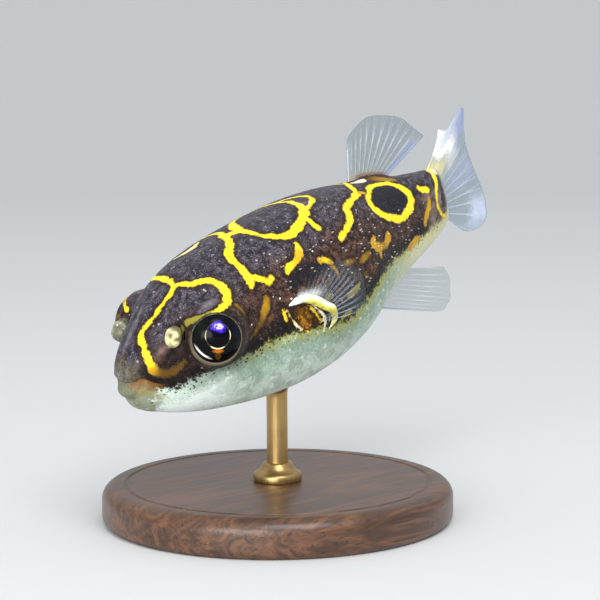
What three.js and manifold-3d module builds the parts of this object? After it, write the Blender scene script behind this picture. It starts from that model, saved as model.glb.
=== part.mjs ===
// A figure-eight puffer at life size, swimming nose down with its tail turned to its right,
// held over a round base by one upright rod.
// Millimetres, +Z up. The origin is the middle of the base's underside, and the fish heads along -X.
import * as THREE from "three";
import { mergeVertices } from "three/addons/utils/BufferGeometryUtils.js";
import Module from "manifold-3d";

const wasm = await Module();
wasm.setup();

// ---- Driving sizes, in millimetres and degrees ----

const gap = 0.3; // clearance between neighbouring pieces
const gillStation = 19.5; // the head ends here, as a distance from the snout
const stemStation = 52; // the trunk ends here and the tail stem begins
const stemEnd = 61; // the tail fin grows from here
const middleStation = 30; // the fish is placed and turned about this point of its axis

const noseDown = 19; // the whole fish dips its head by this angle
const axisHeight = 31; // height of the fish's axis over the table, at the middle station
const rodStation = 26.5; // the rod meets the belly under this point

const headTurn = -4.3; // the nose points this much to the fish's right, easing out
const headTurnLength = 26;
const tailTurn = 29; // the tail turns this much to the fish's right
const tailTurnStart = 50.5;
const tailTurnLength = 20;

// Cross-sections of the body: distance from the snout, half width, height over the axis, depth under it
const bodySections = [
  [0.8, 2.4, 1.6, 4.4],
  [1.8, 3.1, 2.7, 5.25],
  [3, 3.8, 3.9, 5.9],
  [5.5, 5.1, 6.0, 7.3],
  [8.5, 6.6, 8.1, 8.5],
  [12, 7.9, 9.4, 9.6],
  [18, 9.2, 10.4, 11.1],
  [25, 9.7, 10.6, 12.0],
  [32, 9.4, 10.5, 11.7],
  [38, 8.2, 9.8, 10.2],
  [42, 6.7, 9.0, 8.1],
  [48, 4.9, 7.4, 6.7],
  [53, 3.6, 6.0, 5.8],
  [57, 2.6, 5.0, 4.9],
  [stemEnd, 1.7, 4.1, 4.3],
];
const backRoundness = 2.4; // superellipse exponents: 2 is an ellipse, more is squarer
const bellyRoundness = 2.2;

const eye = {
  station: 10.3,
  side: 7.0,
  rise: 2.2,
  radius: 3.8,
  orbitRadius: 4.4, // the mound of skin round the ball
  rimDepth: 2.6, // the mound is cut open at this distance from the ball's middle
  aim: new THREE.Vector3(-0.46, -0.84, 0.31).normalize(), // where the left eye faces
};

const mouth = {
  cornerStation: 2.7,
  cornerSide: 3.0,
  cornerRise: -0.8,
  cornerSpread: 0.65, // each lip ends this far over or under the corner
  upperStation: 0.7,
  upperRise: 0.35,
  upperRadius: 0.95,
  lowerStation: 0.5,
  lowerRise: -1.9,
  lowerRadius: 0.95,
  slitRadius: 0.7, // the head is opened this far between the lips
};

const nasalLobe = {
  station: 5.6,
  side: 5.1,
  rise: 3.5,
  lobeRadius: 1.25,
  lobeThickness: 0.7,
  spread: 0.65, // how far each of the two lobes leans out of the middle
  stalkRadius: 0.45,
  hollowRadius: 2.3, // the lobes stand in a hollow of the skin
  apart: new THREE.Vector3(-0.58, 0.73, 0.36).normalize(), // from the left's outer lobe to its inner one
  inward: new THREE.Vector3(0.24, 0.77, -0.59).normalize(), // from the left lobes to their root
};

// The low mounds of flesh under the dorsal and anal fins
const mound = { rise: 0.7, radius: 1.5, halfWidth: 1.1, overlap: 1, slope: 15 };

const finThickness = 0.5;
const finTaper = 0.35; // share of the thickness that is gone at the edge
const rayRise = 0.12; // how far a ray stands out of the web on each face
const rayTaper = 0.6;

const stand = {
  baseRadius: 23,
  baseHeight: 5,
  edgeRound: 1.8,
  footBevel: 0.6,
  rodRadius: 1.4,
  rodSocket: 3, // how deep the rod goes into the base
  padRadius: 2.4, // the rod widens under the belly
  padHeight: 2,
  ferruleRadius: 3.2,
  ferruleHeight: 2.2,
  ferruleWall: 0.9, // upright part of the ferrule, under its cone
  ferruleLip: 0.5,
};

const radians = THREE.MathUtils.degToRad;

// ---- The fish's own coordinates ----

const ease = (t) => THREE.MathUtils.smoothstep(t, 0, 1);

function heading(station) {
  const head = radians(headTurn) * ease(1 - station / headTurnLength);
  const tail = radians(tailTurn) * ease((station - tailTurnStart) / tailTurnLength);
  return head + tail;
}

// A point of the bent axis, walked out from the middle station.
function axisPoint(station) {
  const steps = 40;
  const step = (station - middleStation) / steps;
  const point = new THREE.Vector3();
  for (let i = 0; i < steps; i += 1) {
    const turn = heading(middleStation + (i + 0.5) * step);
    point.x += step * Math.cos(turn);
    point.y += step * Math.sin(turn);
  }
  return point;
}

// A point given by its distance from the snout, its offset to the fish's right and its height.
function place(station, right, rise) {
  const turn = heading(station);
  const offset = new THREE.Vector3(-Math.sin(turn) * right, Math.cos(turn) * right, rise);
  return axisPoint(station).add(offset);
}

// A direction given along the body, to its right and up, turned with the axis.
function placeDirection(station, direction) {
  return direction.clone().applyAxisAngle(new THREE.Vector3(0, 0, 1), heading(station));
}

const sectionSpline = new THREE.CubicInterpolant(
  bodySections.map((row) => row[0]),
  bodySections.flatMap((row) => row.slice(1)),
  3,
);

// A point of the skin. The angle is 0 on the back, 90 degrees on the left side and 180 under the belly.
function skinPoint(station, angle, grow = 0) {
  const [halfWidth, height, depth] = sectionSpline.evaluate(station);
  const up = Math.cos(angle);
  const left = Math.sin(angle);
  const power = 2 / (up > 0 ? backRoundness : bellyRoundness);
  const right = -Math.sign(left) * (halfWidth + grow) * Math.abs(left) ** power;
  const reach = up > 0 ? height + grow : -(depth + grow);
  return place(station, right, reach * Math.abs(up) ** power);
}

// ---- Solids ----

// A closed solid from corner points and triangles, turned right side out.
function solidFrom(points, triangles) {
  const geometry = new THREE.BufferGeometry().setFromPoints(points);
  geometry.setIndex(triangles.flat());
  return solidOf(geometry);
}

// A closed solid from any closed geometry: its shared corners are merged and flat slivers dropped.
function solidOf(source) {
  const geometry = source.clone();
  geometry.deleteAttribute("normal");
  geometry.deleteAttribute("uv");
  const merged = mergeVertices(geometry, 1e-4);
  const corners = merged.index.array;
  const whole = [];
  for (let i = 0; i < corners.length; i += 3) {
    const [a, b, c] = corners.slice(i, i + 3);
    if (a !== b && b !== c && c !== a) whole.push(a, b, c);
  }
  const build = (triVerts) =>
    new wasm.Manifold(
      new wasm.Mesh({ numProp: 3, vertProperties: merged.attributes.position.array, triVerts }),
    );
  const solid = build(new Uint32Array(whole));
  return solid.volume() > 0 ? solid : build(new Uint32Array(whole).reverse());
}

// A solid skinned over rings of points, each end closed to its middle.
function loftRings(rings) {
  const count = rings[0].length;
  const points = rings.flat();
  const triangles = [];
  for (let r = 0; r + 1 < rings.length; r += 1) {
    for (let i = 0; i < count; i += 1) {
      const a = r * count + i;
      const b = r * count + ((i + 1) % count);
      triangles.push([a, b, a + count], [b, b + count, a + count]);
    }
  }
  for (const end of [0, rings.length - 1]) {
    const middle = new THREE.Vector3();
    rings[end].forEach((point) => middle.addScaledVector(point, 1 / count));
    points.push(middle);
    for (let i = 0; i < count; i += 1) {
      const pair = [end * count + i, end * count + ((i + 1) % count)];
      if (end === 0) pair.reverse();
      triangles.push([...pair, points.length - 1]);
    }
  }
  return solidFrom(points, triangles);
}

// A length of the body between two stations, grown outwards by a clearance where another piece must miss it.
function bodyLength(from, to, steps, sides, grow = 0) {
  const rings = [];
  for (let i = 0; i <= steps; i += 1) {
    const station = THREE.MathUtils.lerp(from, to, i / steps);
    const ring = [];
    for (let k = 0; k < sides; k += 1) ring.push(skinPoint(station, (k / sides) * 2 * Math.PI, grow));
    rings.push(ring);
  }
  return loftRings(rings);
}

// A round tube through points, with a radius that follows the same points.
function taperedTube(points, radii, sides, steps) {
  const path = new THREE.CatmullRomCurve3(points);
  const frames = path.computeFrenetFrames(steps);
  const rings = [];
  for (let i = 0; i <= steps; i += 1) {
    const share = i / steps;
    const along = share * (radii.length - 1);
    const before = Math.min(Math.floor(along), radii.length - 2);
    const radius = THREE.MathUtils.lerp(radii[before], radii[before + 1], along - before);
    const centre = path.getPointAt(share);
    const ring = [];
    for (let k = 0; k < sides; k += 1) {
      const angle = (k / sides) * 2 * Math.PI;
      const out = frames.normals[i].clone().multiplyScalar(Math.cos(angle) * radius);
      out.addScaledVector(frames.binormals[i], Math.sin(angle) * radius);
      ring.push(out.add(centre));
    }
    rings.push(ring);
  }
  return loftRings(rings);
}

// A ball stretched along three axes and set at a point.
function ball(centre, radii, turn = new THREE.Quaternion(), detail = 20) {
  const geometry = new THREE.SphereGeometry(1, detail, Math.round(detail * 0.6));
  geometry.scale(radii.x, radii.y, radii.z);
  geometry.applyQuaternion(turn);
  geometry.translate(centre.x, centre.y, centre.z);
  return solidOf(geometry);
}

function evenBall(centre, radius, detail) {
  return ball(centre, new THREE.Vector3(radius, radius, radius), undefined, detail);
}

// A straight round bar from one point towards another.
function bar(from, direction, length, radius, sides) {
  const geometry = new THREE.CylinderGeometry(radius, radius, length, sides);
  geometry.translate(0, length / 2, 0);
  geometry.applyQuaternion(new THREE.Quaternion().setFromUnitVectors(new THREE.Vector3(0, 1, 0), direction));
  geometry.translate(from.x, from.y, from.z);
  return solidOf(geometry);
}

// A fin: rays spread over a root line, joined by a web that is thickest along each ray.
// rayAt(u) gives a ray's root, direction, length and curl.
function finSolid(rays, rayAt) {
  const columns = rays * 2;
  const rows = 4;
  const onFin = (u, v) => {
    const { root, direction, length, curl } = rayAt(THREE.MathUtils.clamp(u, 0, 1));
    return root.clone().addScaledVector(direction, length * v).addScaledVector(curl, v * v);
  };
  const step = 0.01;
  const front = [];
  const back = [];
  for (let i = 0; i <= columns; i += 1) {
    for (let j = 0; j <= rows; j += 1) {
      const u = i / columns;
      const v = j / rows;
      const point = onFin(u, v);
      const across = onFin(u + step, v).sub(onFin(u - step, v));
      const along = onFin(u, v + step).sub(onFin(u, v - step));
      const normal = across.cross(along).normalize();
      const ridge = i % 2 === 0 ? rayRise * (1 - rayTaper * v) : 0;
      const half = (finThickness / 2) * (1 - finTaper * v) + ridge;
      front.push(point.clone().addScaledVector(normal, half));
      back.push(point.clone().addScaledVector(normal, -half));
    }
  }
  const across = rows + 1;
  const offset = front.length;
  const triangles = [];
  const quad = (a, b, c, d) => triangles.push([a, b, c], [a, c, d]);
  for (let i = 0; i < columns; i += 1) {
    for (let j = 0; j < rows; j += 1) {
      const a = i * across + j;
      quad(a, a + across, a + across + 1, a + 1);
      quad(offset + a, offset + a + 1, offset + a + across + 1, offset + a + across);
    }
    const root = i * across;
    const tip = root + rows;
    quad(root, offset + root, offset + root + across, root + across);
    quad(tip, tip + across, offset + tip + across, offset + tip);
  }
  for (let j = 0; j < rows; j += 1) {
    const last = columns * across + j;
    quad(j, j + 1, offset + j + 1, offset + j);
    quad(last, offset + last, offset + last + 1, last + 1);
  }
  return solidFrom([...front, ...back], triangles);
}

// Values that change along a fin's root, each row a place from 0 to 1 followed by them.
function alongRoot(rows) {
  const spline = new THREE.CubicInterpolant(
    rows.map((row) => row[0]),
    rows.flatMap((row) => row.slice(1)),
    rows[0].length - 1,
  );
  return (u) => [...spline.evaluate(u)];
}

// ---- Eyes ----

const mirrored = (vector, side) => new THREE.Vector3(vector.x, -side * vector.y, vector.z);

// side is -1 on the fish's left and +1 on its right
function eyeCentre(side) {
  return place(eye.station, side * eye.side, eye.rise);
}

function eyeAim(side) {
  return placeDirection(eye.station, mirrored(eye.aim, side));
}

function eyeBall(side) {
  return evenBall(eyeCentre(side), eye.radius, 18);
}

// The mound of skin round the eye, and what is cut out of it for the ball.
function orbit(side) {
  return evenBall(eyeCentre(side), eye.orbitRadius, 16);
}

function socket(side) {
  const rim = eyeCentre(side).addScaledVector(eyeAim(side), eye.rimDepth);
  const opening = bar(rim, eyeAim(side), eye.orbitRadius, eye.orbitRadius, 16);
  return evenBall(eyeCentre(side), eye.radius + gap, 16).add(opening);
}

// ---- Mouth and nose ----

// A lip runs from one corner of the mouth over its middle to the other.
function lip(foreStation, foreRise, cornerRise, radius, grow = 0) {
  const steps = 8;
  const points = [];
  const radii = [];
  for (let i = 0; i <= steps; i += 1) {
    const sweep = (i / steps - 0.5) * Math.PI;
    const back = Math.sin(sweep) ** 2;
    points.push(
      place(
        THREE.MathUtils.lerp(foreStation, mouth.cornerStation, back),
        mouth.cornerSide * Math.sin(sweep),
        THREE.MathUtils.lerp(foreRise, cornerRise, back),
      ),
    );
    radii.push(radius * (1 - 0.45 * back) + grow);
  }
  return taperedTube(points, radii, 8, 12);
}

function upperLip(grow) {
  const { upperStation, upperRise, upperRadius, cornerRise, cornerSpread } = mouth;
  return lip(upperStation, upperRise, cornerRise + cornerSpread, upperRadius, grow);
}

function lowerLip(grow) {
  const { lowerStation, lowerRise, lowerRadius, cornerRise, cornerSpread } = mouth;
  return lip(lowerStation, lowerRise, cornerRise - cornerSpread, lowerRadius, grow);
}

function mouthSlit() {
  const { lowerStation, upperRise, lowerRise, cornerRise, slitRadius } = mouth;
  return lip(lowerStation, (upperRise + lowerRise) / 2, cornerRise, slitRadius);
}

function nasalMiddle(side) {
  return place(nasalLobe.station, side * nasalLobe.side, nasalLobe.rise);
}

// Two flat lobes on a short stalk, one leaning in over the snout and one out over the cheek.
function nasalTentacle(side) {
  const { station, lobeRadius, lobeThickness, spread, stalkRadius, hollowRadius } = nasalLobe;
  const middle = nasalMiddle(side);
  const apart = placeDirection(station, mirrored(nasalLobe.apart, side));
  const flat = new THREE.Vector3(lobeRadius, lobeRadius, lobeThickness);
  const face = new THREE.Quaternion().setFromUnitVectors(new THREE.Vector3(0, 0, 1), apart);
  const inward = placeDirection(station, mirrored(nasalLobe.inward, side));
  const stalk = bar(middle, inward, hollowRadius - gap, stalkRadius, 10);
  const lobes = [-spread, spread].map((lean) => {
    return ball(middle.clone().addScaledVector(apart, lean), flat, face, 10);
  });
  return stalk.add(lobes[0]).add(lobes[1]);
}

// The hollow in the skin that the tentacle stands in.
function nostril(side) {
  return evenBall(nasalMiddle(side), nasalLobe.hollowRadius, 12);
}

// ---- Fins ----

const ray = (root, direction, length, curl = new THREE.Vector3()) => ({
  root,
  direction: direction.clone().normalize(),
  length,
  curl,
});

// How far a fin's root stands off the back or belly, clear of its mound
const moundTop = (u) => gap + 0.2 + mound.rise * Math.sin(Math.PI * u) ** 0.5;

// Root place, ray length and lean from upright, from the front ray to the last
const dorsalRays = alongRoot([
  [0, 5, 20],
  [0.33, 7.3, 32],
  [0.66, 8.8, 56],
  [1, 8.6, 76],
]);
const dorsalRoot = { from: 43.6, to: 51.2 };
const dorsalSwing = 0.05; // the fin leans and bows a little to the fish's right
const dorsalBow = 0.5;

function dorsalRay(u) {
  const [length, lean] = dorsalRays(u);
  const station = THREE.MathUtils.lerp(dorsalRoot.from, dorsalRoot.to, u);
  const [, height] = sectionSpline.evaluate(station);
  const root = place(station, 0, height + moundTop(u));
  const direction = placeDirection(
    station,
    new THREE.Vector3(Math.sin(radians(lean)), dorsalSwing, Math.cos(radians(lean))),
  );
  const curl = new THREE.Vector3(0, dorsalBow * Math.sin(u * Math.PI), 0);
  return ray(root, direction, length, curl);
}

const analRays = alongRoot([
  [0, 9.6, 59],
  [0.5, 9.2, 58],
  [1, 6.4, 66],
]);
const analRoot = { from: 41.4, to: 50.2 };
const analSwing = 35; // the fin is swept to the fish's left by this angle

function analRay(u) {
  const [length, lean] = analRays(u);
  const station = THREE.MathUtils.lerp(analRoot.from, analRoot.to, u);
  const [, , depth] = sectionSpline.evaluate(station);
  const down = Math.cos(radians(lean));
  const direction = placeDirection(
    station,
    new THREE.Vector3(
      Math.sin(radians(lean)),
      -down * Math.sin(radians(analSwing)),
      -down * Math.cos(radians(analSwing)),
    ),
  );
  return ray(place(station, 0, -depth - moundTop(u)), direction, length);
}

// Root place, ray length, climb over the body's line and turn from it, from the top ray to the lowest
const tailRays = alongRoot([
  [0, 8, 25, 14],
  [0.14, 15, 20, 8],
  [0.4, 13.2, 4, 8],
  [0.7, 13.2, -10, 3],
  [0.87, 12.2, -20, 0],
  [1, 7.5, -28, -3],
]);
const tailRoot = stemEnd + gap + 0.1;
const tailInset = 0.3; // the outer rays start this far inside the stem's top and bottom
const tailCurl = new THREE.Vector3(-0.06, 0.07, 0); // the web's edge curls this far for each degree of turn

function tailRay(u) {
  const [length, climb, turn] = tailRays(u);
  const [, height, depth] = sectionSpline.evaluate(stemEnd);
  const rise = THREE.MathUtils.lerp(height - tailInset, tailInset - depth, u);
  const flat = Math.cos(radians(climb));
  const rootTurn = radians(turn * 0.4);
  const direction = placeDirection(
    tailRoot,
    new THREE.Vector3(flat * Math.cos(rootTurn), flat * Math.sin(rootTurn), Math.sin(radians(climb))),
  );
  return ray(place(tailRoot, 0, rise), direction, length, tailCurl.clone().multiplyScalar(turn));
}

// The pectoral fin's root bends round the back of the gill opening: station, how far it stands out, and rise
const pectoralRoot = new THREE.CatmullRomCurve3([
  new THREE.Vector3(21.6, 0.25, 2.2),
  new THREE.Vector3(23.6, 0.45, 1.6),
  new THREE.Vector3(25.1, 0.45, 0.5),
  new THREE.Vector3(25.8, 0.4, -1.0),
  new THREE.Vector3(25.4, 0.2, -2.5),
]);
const pectoralFlesh = [0.5, 0.9, 1.0, 1.0, 0.6]; // radius of the fleshy lobe along that root
const pectoralSink = 0.5; // the lobe's middle lies this far inside the skin
const pectoralStandOff = 0.15; // the rays start this far outside it
const pectoralReach = 0.7;
const pectoralCurl = new THREE.Vector3(0.6, 0.9, 0);

// Root place, ray length, climb over the body's line and spread outwards
const pectoralRays = alongRoot([
  [0, 3.6, 105, 40],
  [0.25, 4.4, 75, 36],
  [0.6, 5.2, 38, 30],
  [1, 4.4, -8, 28],
]);

function pectoralPlace(side, { x: station, y: outward, z: rise }, standOff) {
  const [halfWidth] = sectionSpline.evaluate(station);
  return place(station, side * (halfWidth + outward + standOff), rise);
}

function pectoralBase(side) {
  const points = pectoralRoot.getPoints(8).map((point) => pectoralPlace(side, point, -pectoralSink));
  return taperedTube(points, pectoralFlesh, 8, 8);
}

function pectoralRay(side) {
  return (u) => {
    const [length, climb, spread] = pectoralRays(u);
    const point = pectoralRoot.getPoint(u);
    const flat = Math.cos(radians(spread));
    const direction = placeDirection(
      point.x,
      new THREE.Vector3(
        flat * Math.cos(radians(climb)),
        side * Math.sin(radians(spread)),
        flat * Math.sin(radians(climb)),
      ),
    );
    const root = pectoralPlace(side, point, pectoralStandOff).addScaledVector(direction, pectoralReach);
    return ray(root, direction, length, mirrored(pectoralCurl, side));
  };
}

// The dish in front of the pectoral fin, where the gill opens.
const gill = { station: 22.1, side: 10.4, rise: -0.3, radii: new THREE.Vector3(3.0, 1.8, 2.2) };

function gillDish(side) {
  return ball(place(gill.station, side * gill.side, gill.rise), gill.radii, undefined, 14);
}

// ---- Body pieces ----

// The low mound of flesh that a fin grows from: way is 1 on the back and -1 under the belly.
function finMound({ from, to }, way) {
  const [, height, depth] = sectionSpline.evaluate((from + to) / 2);
  const surface = way > 0 ? height : depth;
  const centre = place((from + to) / 2, 0, way * (surface + mound.rise - mound.radius));
  const sideways = new THREE.Vector3(0, 1, 0);
  const slope = new THREE.Quaternion().setFromAxisAngle(sideways, way * radians(mound.slope));
  const radii = new THREE.Vector3((to - from) / 2 + mound.overlap, mound.halfWidth, mound.radius);
  return ball(centre, radii, slope, 12);
}

const sides = [-1, 1];

const bodySides = 28;

let head = bodyLength(bodySections[0][0], gillStation - gap / 2, 13, bodySides);
for (const side of sides) head = head.add(orbit(side));
for (const side of sides) head = head.subtract(socket(side)).subtract(nostril(side));
head = head.subtract(upperLip(gap)).subtract(lowerLip(gap)).subtract(mouthSlit());

let trunk = bodyLength(gillStation + gap / 2, stemStation - gap / 2, 12, bodySides)
  .add(finMound(dorsalRoot, 1))
  .add(finMound(analRoot, -1));
for (const side of sides) trunk = trunk.subtract(gillDish(side)).add(pectoralBase(side));

const tailStem = bodyLength(stemStation + gap / 2, stemEnd, 5, 24);

// ---- The scene graph ----

const finish = {
  skin: { color: 0x5a4a52, roughness: 0.45, metalness: 0 },
  lip: { color: 0x8a6a48, roughness: 0.5, metalness: 0 },
  eye: { color: 0x101418, roughness: 0.08, metalness: 0 },
  nose: { color: 0xb9b39a, roughness: 0.4, metalness: 0 },
  fin: { color: 0xb7c2cc, roughness: 0.35, metalness: 0 },
  wood: { color: 0x4a2f1e, roughness: 0.4, metalness: 0 },
  brass: { color: 0xb08d4a, roughness: 0.3, metalness: 1 },
};

function geometryOf(solid) {
  const { numProp, vertProperties, triVerts } = solid.getMesh();
  const geometry = new THREE.BufferGeometry();
  geometry.setAttribute("position", new THREE.BufferAttribute(new Float32Array(vertProperties), numProp));
  geometry.setIndex(new THREE.BufferAttribute(new Uint32Array(triVerts), 1));
  return geometry;
}

function meshOf(name, solid, look) {
  const material = new THREE.MeshStandardMaterial({ ...finish[look], flatShading: true });
  const mesh = new THREE.Mesh(geometryOf(solid), material);
  mesh.name = name;
  return mesh;
}

const fish = new THREE.Group();
fish.add(
  meshOf("head", head, "skin"),
  meshOf("trunk", trunk, "skin"),
  meshOf("tail_stem", tailStem, "skin"),
  meshOf("upper_lip", upperLip(0), "lip"),
  meshOf("lower_lip", lowerLip(0), "lip"),
  meshOf("dorsal_fin", finSolid(11, dorsalRay), "fin"),
  meshOf("anal_fin", finSolid(9, analRay), "fin"),
  meshOf("tail_fin", finSolid(10, tailRay), "fin"),
);
for (const side of sides) {
  const name = side < 0 ? "left" : "right";
  fish.add(
    meshOf("eye_" + name, eyeBall(side), "eye"),
    meshOf("nasal_lobe_" + name, nasalTentacle(side), "nose"),
    meshOf("pectoral_fin_" + name, finSolid(9, pectoralRay(side)), "fin"),
  );
}
fish.rotation.y = -radians(noseDown);
fish.position.set((middleStation - rodStation) * Math.cos(radians(noseDown)), 0, axisHeight);
fish.updateMatrix();

// ---- The display stand ----

// A profile of radius and height, turned round the upright axis.
function turned(profile, segments) {
  const geometry = new THREE.LatheGeometry(
    profile.map(([radius, height]) => new THREE.Vector2(radius, height)),
    segments,
  );
  return solidOf(geometry.rotateX(Math.PI / 2));
}

function standBase() {
  const { baseRadius, baseHeight, edgeRound, footBevel, rodRadius, rodSocket } = stand;
  const edge = [];
  const edgeSteps = 4;
  for (let i = 0; i <= edgeSteps; i += 1) {
    const sweep = (i / edgeSteps) * (Math.PI / 2);
    edge.push([
      baseRadius - edgeRound * (1 - Math.cos(sweep)),
      baseHeight - edgeRound * (1 - Math.sin(sweep)),
    ]);
  }
  const hole = rodRadius + gap;
  return turned(
    [
      [0, 0],
      [baseRadius - footBevel, 0],
      [baseRadius, footBevel],
      ...edge,
      [hole, baseHeight],
      [hole, baseHeight - rodSocket],
      [0, baseHeight - rodSocket],
    ],
    32,
  );
}

function standFerrule() {
  const { baseHeight, rodRadius, ferruleRadius, ferruleHeight, ferruleWall, ferruleLip } = stand;
  const foot = baseHeight + gap;
  const hole = rodRadius + gap;
  return turned(
    [
      [hole, foot],
      [ferruleRadius, foot],
      [ferruleRadius, foot + ferruleWall],
      [hole + ferruleLip, foot + ferruleHeight],
      [hole, foot + ferruleHeight],
      [hole, foot],
    ],
    20,
  );
}

// The rod stands in the base and ends in a pad that follows the belly.
function standRod() {
  const { baseHeight, rodSocket, rodRadius, padRadius, padHeight } = stand;
  const up = new THREE.Vector3(0, 0, 1);
  const foot = baseHeight - rodSocket + gap;
  const [, , depth] = sectionSpline.evaluate(rodStation);
  const belly = axisHeight - depth / Math.cos(radians(noseDown));
  const rod = bar(new THREE.Vector3(0, 0, foot), up, axisHeight - foot, rodRadius, 16);
  const pad = bar(new THREE.Vector3(0, 0, belly - padHeight), up, axisHeight - belly, padRadius, 16);
  const bellySkin = bodyLength(gillStation, stemStation, 12, bodySides, gap);
  const clearance = geometryOf(bellySkin).applyMatrix4(fish.matrix);
  return rod.add(pad).subtract(solidOf(clearance));
}

const display = new THREE.Group();
display.add(
  meshOf("stand_base", standBase(), "wood"),
  meshOf("stand_ferrule", standFerrule(), "brass"),
  meshOf("stand_rod", standRod(), "brass"),
);

const model = new THREE.Group();
model.add(fish, display);

export default model;
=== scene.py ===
import math
from types import SimpleNamespace

import bpy
import numpy as np
from mathutils import Matrix, Vector
from mathutils.bvhtree import BVHTree
from mathutils.kdtree import KDTree


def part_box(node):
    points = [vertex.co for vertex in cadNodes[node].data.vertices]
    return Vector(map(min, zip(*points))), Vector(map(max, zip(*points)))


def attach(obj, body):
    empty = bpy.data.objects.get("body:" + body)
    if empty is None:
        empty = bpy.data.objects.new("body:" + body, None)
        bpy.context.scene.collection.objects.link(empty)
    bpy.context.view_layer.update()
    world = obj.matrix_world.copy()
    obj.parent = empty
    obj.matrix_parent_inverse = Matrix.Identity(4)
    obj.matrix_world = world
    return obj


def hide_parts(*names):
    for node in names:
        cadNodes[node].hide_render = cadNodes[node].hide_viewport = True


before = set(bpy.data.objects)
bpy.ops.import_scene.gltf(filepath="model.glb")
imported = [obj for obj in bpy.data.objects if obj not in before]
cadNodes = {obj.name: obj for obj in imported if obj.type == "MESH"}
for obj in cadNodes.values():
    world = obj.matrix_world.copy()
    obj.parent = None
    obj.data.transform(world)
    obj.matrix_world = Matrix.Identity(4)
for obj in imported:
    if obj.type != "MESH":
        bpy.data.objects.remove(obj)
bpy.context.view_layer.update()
mm = 0.001

# The fish's own axes, as its solids have them: millimetres from the snout along a bent axis, and degrees
body = {
    "noseDown": 19,
    "axisHeight": 31,
    "middle": 30,  # the fish is placed and turned about this station
    "rod": 26.5,
    "headTurn": -4.3,
    "headTurnLength": 26,
    "tailTurn": 29,
    "tailTurnStart": 50.5,
    "tailTurnLength": 20,
    "rounds": 8,  # enough to find a point's station on the bent axis
    "beamRise": -0.3,  # the height from which the skin is looked for, outwards from the axis
}


def smoothStep(value, low=0.0, high=1.0):
    share = np.clip((value - low) / (high - low), 0, 1)
    return share * share * (3 - 2 * share)


def heading(station):
    head = math.radians(body["headTurn"]) * smoothStep(1 - station / body["headTurnLength"])
    pastStart = (station - body["tailTurnStart"]) / body["tailTurnLength"]
    return head + math.radians(body["tailTurn"]) * smoothStep(pastStart)


axisStep = 0.05
axisStations = np.arange(-8, 92, axisStep)
axisTurns = heading(axisStations + axisStep / 2)
axisX = np.concatenate([[0], np.cumsum(np.cos(axisTurns) * axisStep)[:-1]])
axisY = np.concatenate([[0], np.cumsum(np.sin(axisTurns) * axisStep)[:-1]])
axisX -= np.interp(body["middle"], axisStations, axisX)
axisY -= np.interp(body["middle"], axisStations, axisY)

nose = math.radians(-body["noseDown"])
fishTurn = np.array([[math.cos(nose), 0, math.sin(nose)], [0, 1, 0], [-math.sin(nose), 0, math.cos(nose)]])
fishOrigin = np.array([(body["middle"] - body["rod"]) * math.cos(nose), 0, body["axisHeight"]])


def toWorld(points):
    return (np.asarray(points) @ fishTurn.T + fishOrigin) * mm


def toFish(points):
    return (np.asarray(points) / mm - fishOrigin) @ fishTurn


def place(station, right, rise):  # a point of the fish: its station, offset to the right and height
    station, right, rise = np.broadcast_arrays(*[np.asarray(v, float) for v in (station, right, rise)])
    turn = heading(station)
    x = np.interp(station, axisStations, axisX) - np.sin(turn) * right
    y = np.interp(station, axisStations, axisY) + np.cos(turn) * right
    return np.stack([x, y, rise], -1)


def along(station, ahead, right, up):  # a direction at a station, turned with the axis
    turn = heading(np.asarray(station, float))
    x = np.cos(turn) * ahead - np.sin(turn) * right
    y = np.sin(turn) * ahead + np.cos(turn) * right
    return np.stack(np.broadcast_arrays(x, y, up), -1)


def measure(points):  # station, offset to the right and height of each point of the fish
    def fromAxis(station):  # how far past its station each point lies, in two parts, and how far right
        turn = heading(station)
        dx = points[:, 0] - np.interp(station, axisStations, axisX)
        dy = points[:, 1] - np.interp(station, axisStations, axisY)
        return dx * np.cos(turn), dy * np.sin(turn), dy * np.cos(turn) - dx * np.sin(turn)

    station = points[:, 0] + body["middle"]
    for _ in range(body["rounds"]):
        alongX, alongY = fromAxis(station)[:2]
        station = station + alongX + alongY
    return station, fromAxis(station)[2], points[:, 2]


def deselectAll():
    bpy.ops.object.select_all(action="DESELECT")


def activate(piece):
    deselectAll()
    piece.select_set(True)
    bpy.context.view_layer.objects.active = piece


def editAll():
    bpy.ops.object.mode_set(mode="EDIT")
    bpy.ops.mesh.select_all(action="SELECT")


def leaveEdit():
    bpy.ops.object.mode_set(mode="OBJECT")


def addPiece(name, data):
    piece = bpy.data.objects.new(name, data)
    bpy.context.collection.objects.link(piece)
    return piece


def copySolid(node, name):  # a copy of a solid, with the doubles of its loose faces merged
    piece = addPiece(name, cadNodes[node].data.copy())
    activate(piece)
    editAll()
    bpy.ops.mesh.remove_doubles(threshold=1e-6)
    leaveEdit()
    return piece


def applyModifier(piece, kind, **settings):
    modifier = piece.modifiers.new(kind.lower(), kind)
    for name, value in settings.items():
        setattr(modifier, name, value)
    activate(piece)
    bpy.ops.object.modifier_apply(modifier=modifier.name)


def joinPieces(pieces, name):
    deselectAll()
    for piece in pieces:
        piece.select_set(True)
    bpy.context.view_layer.objects.active = pieces[0]
    bpy.ops.object.join()
    pieces[0].name = name
    pieces[0].data.name = name
    return pieces[0]


def readValues(layer, field, width, kind=float):  # one field of all the vertices or edges of a mesh
    values = np.empty(len(layer) * width, dtype=kind)
    layer.foreach_get(field, values)
    return values.reshape(-1, width)


def getPoints(piece):
    return readValues(piece.data.vertices, "co", 3)


def setPoints(piece, points):
    piece.data.vertices.foreach_set("co", np.ascontiguousarray(points, dtype=float).ravel())
    piece.data.update()


def getNormals(piece):
    return readValues(piece.data.vertices, "normal", 3) @ fishTurn


def getEdges(piece):
    return readValues(piece.data.edges, "vertices", 2, np.int64)


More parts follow.
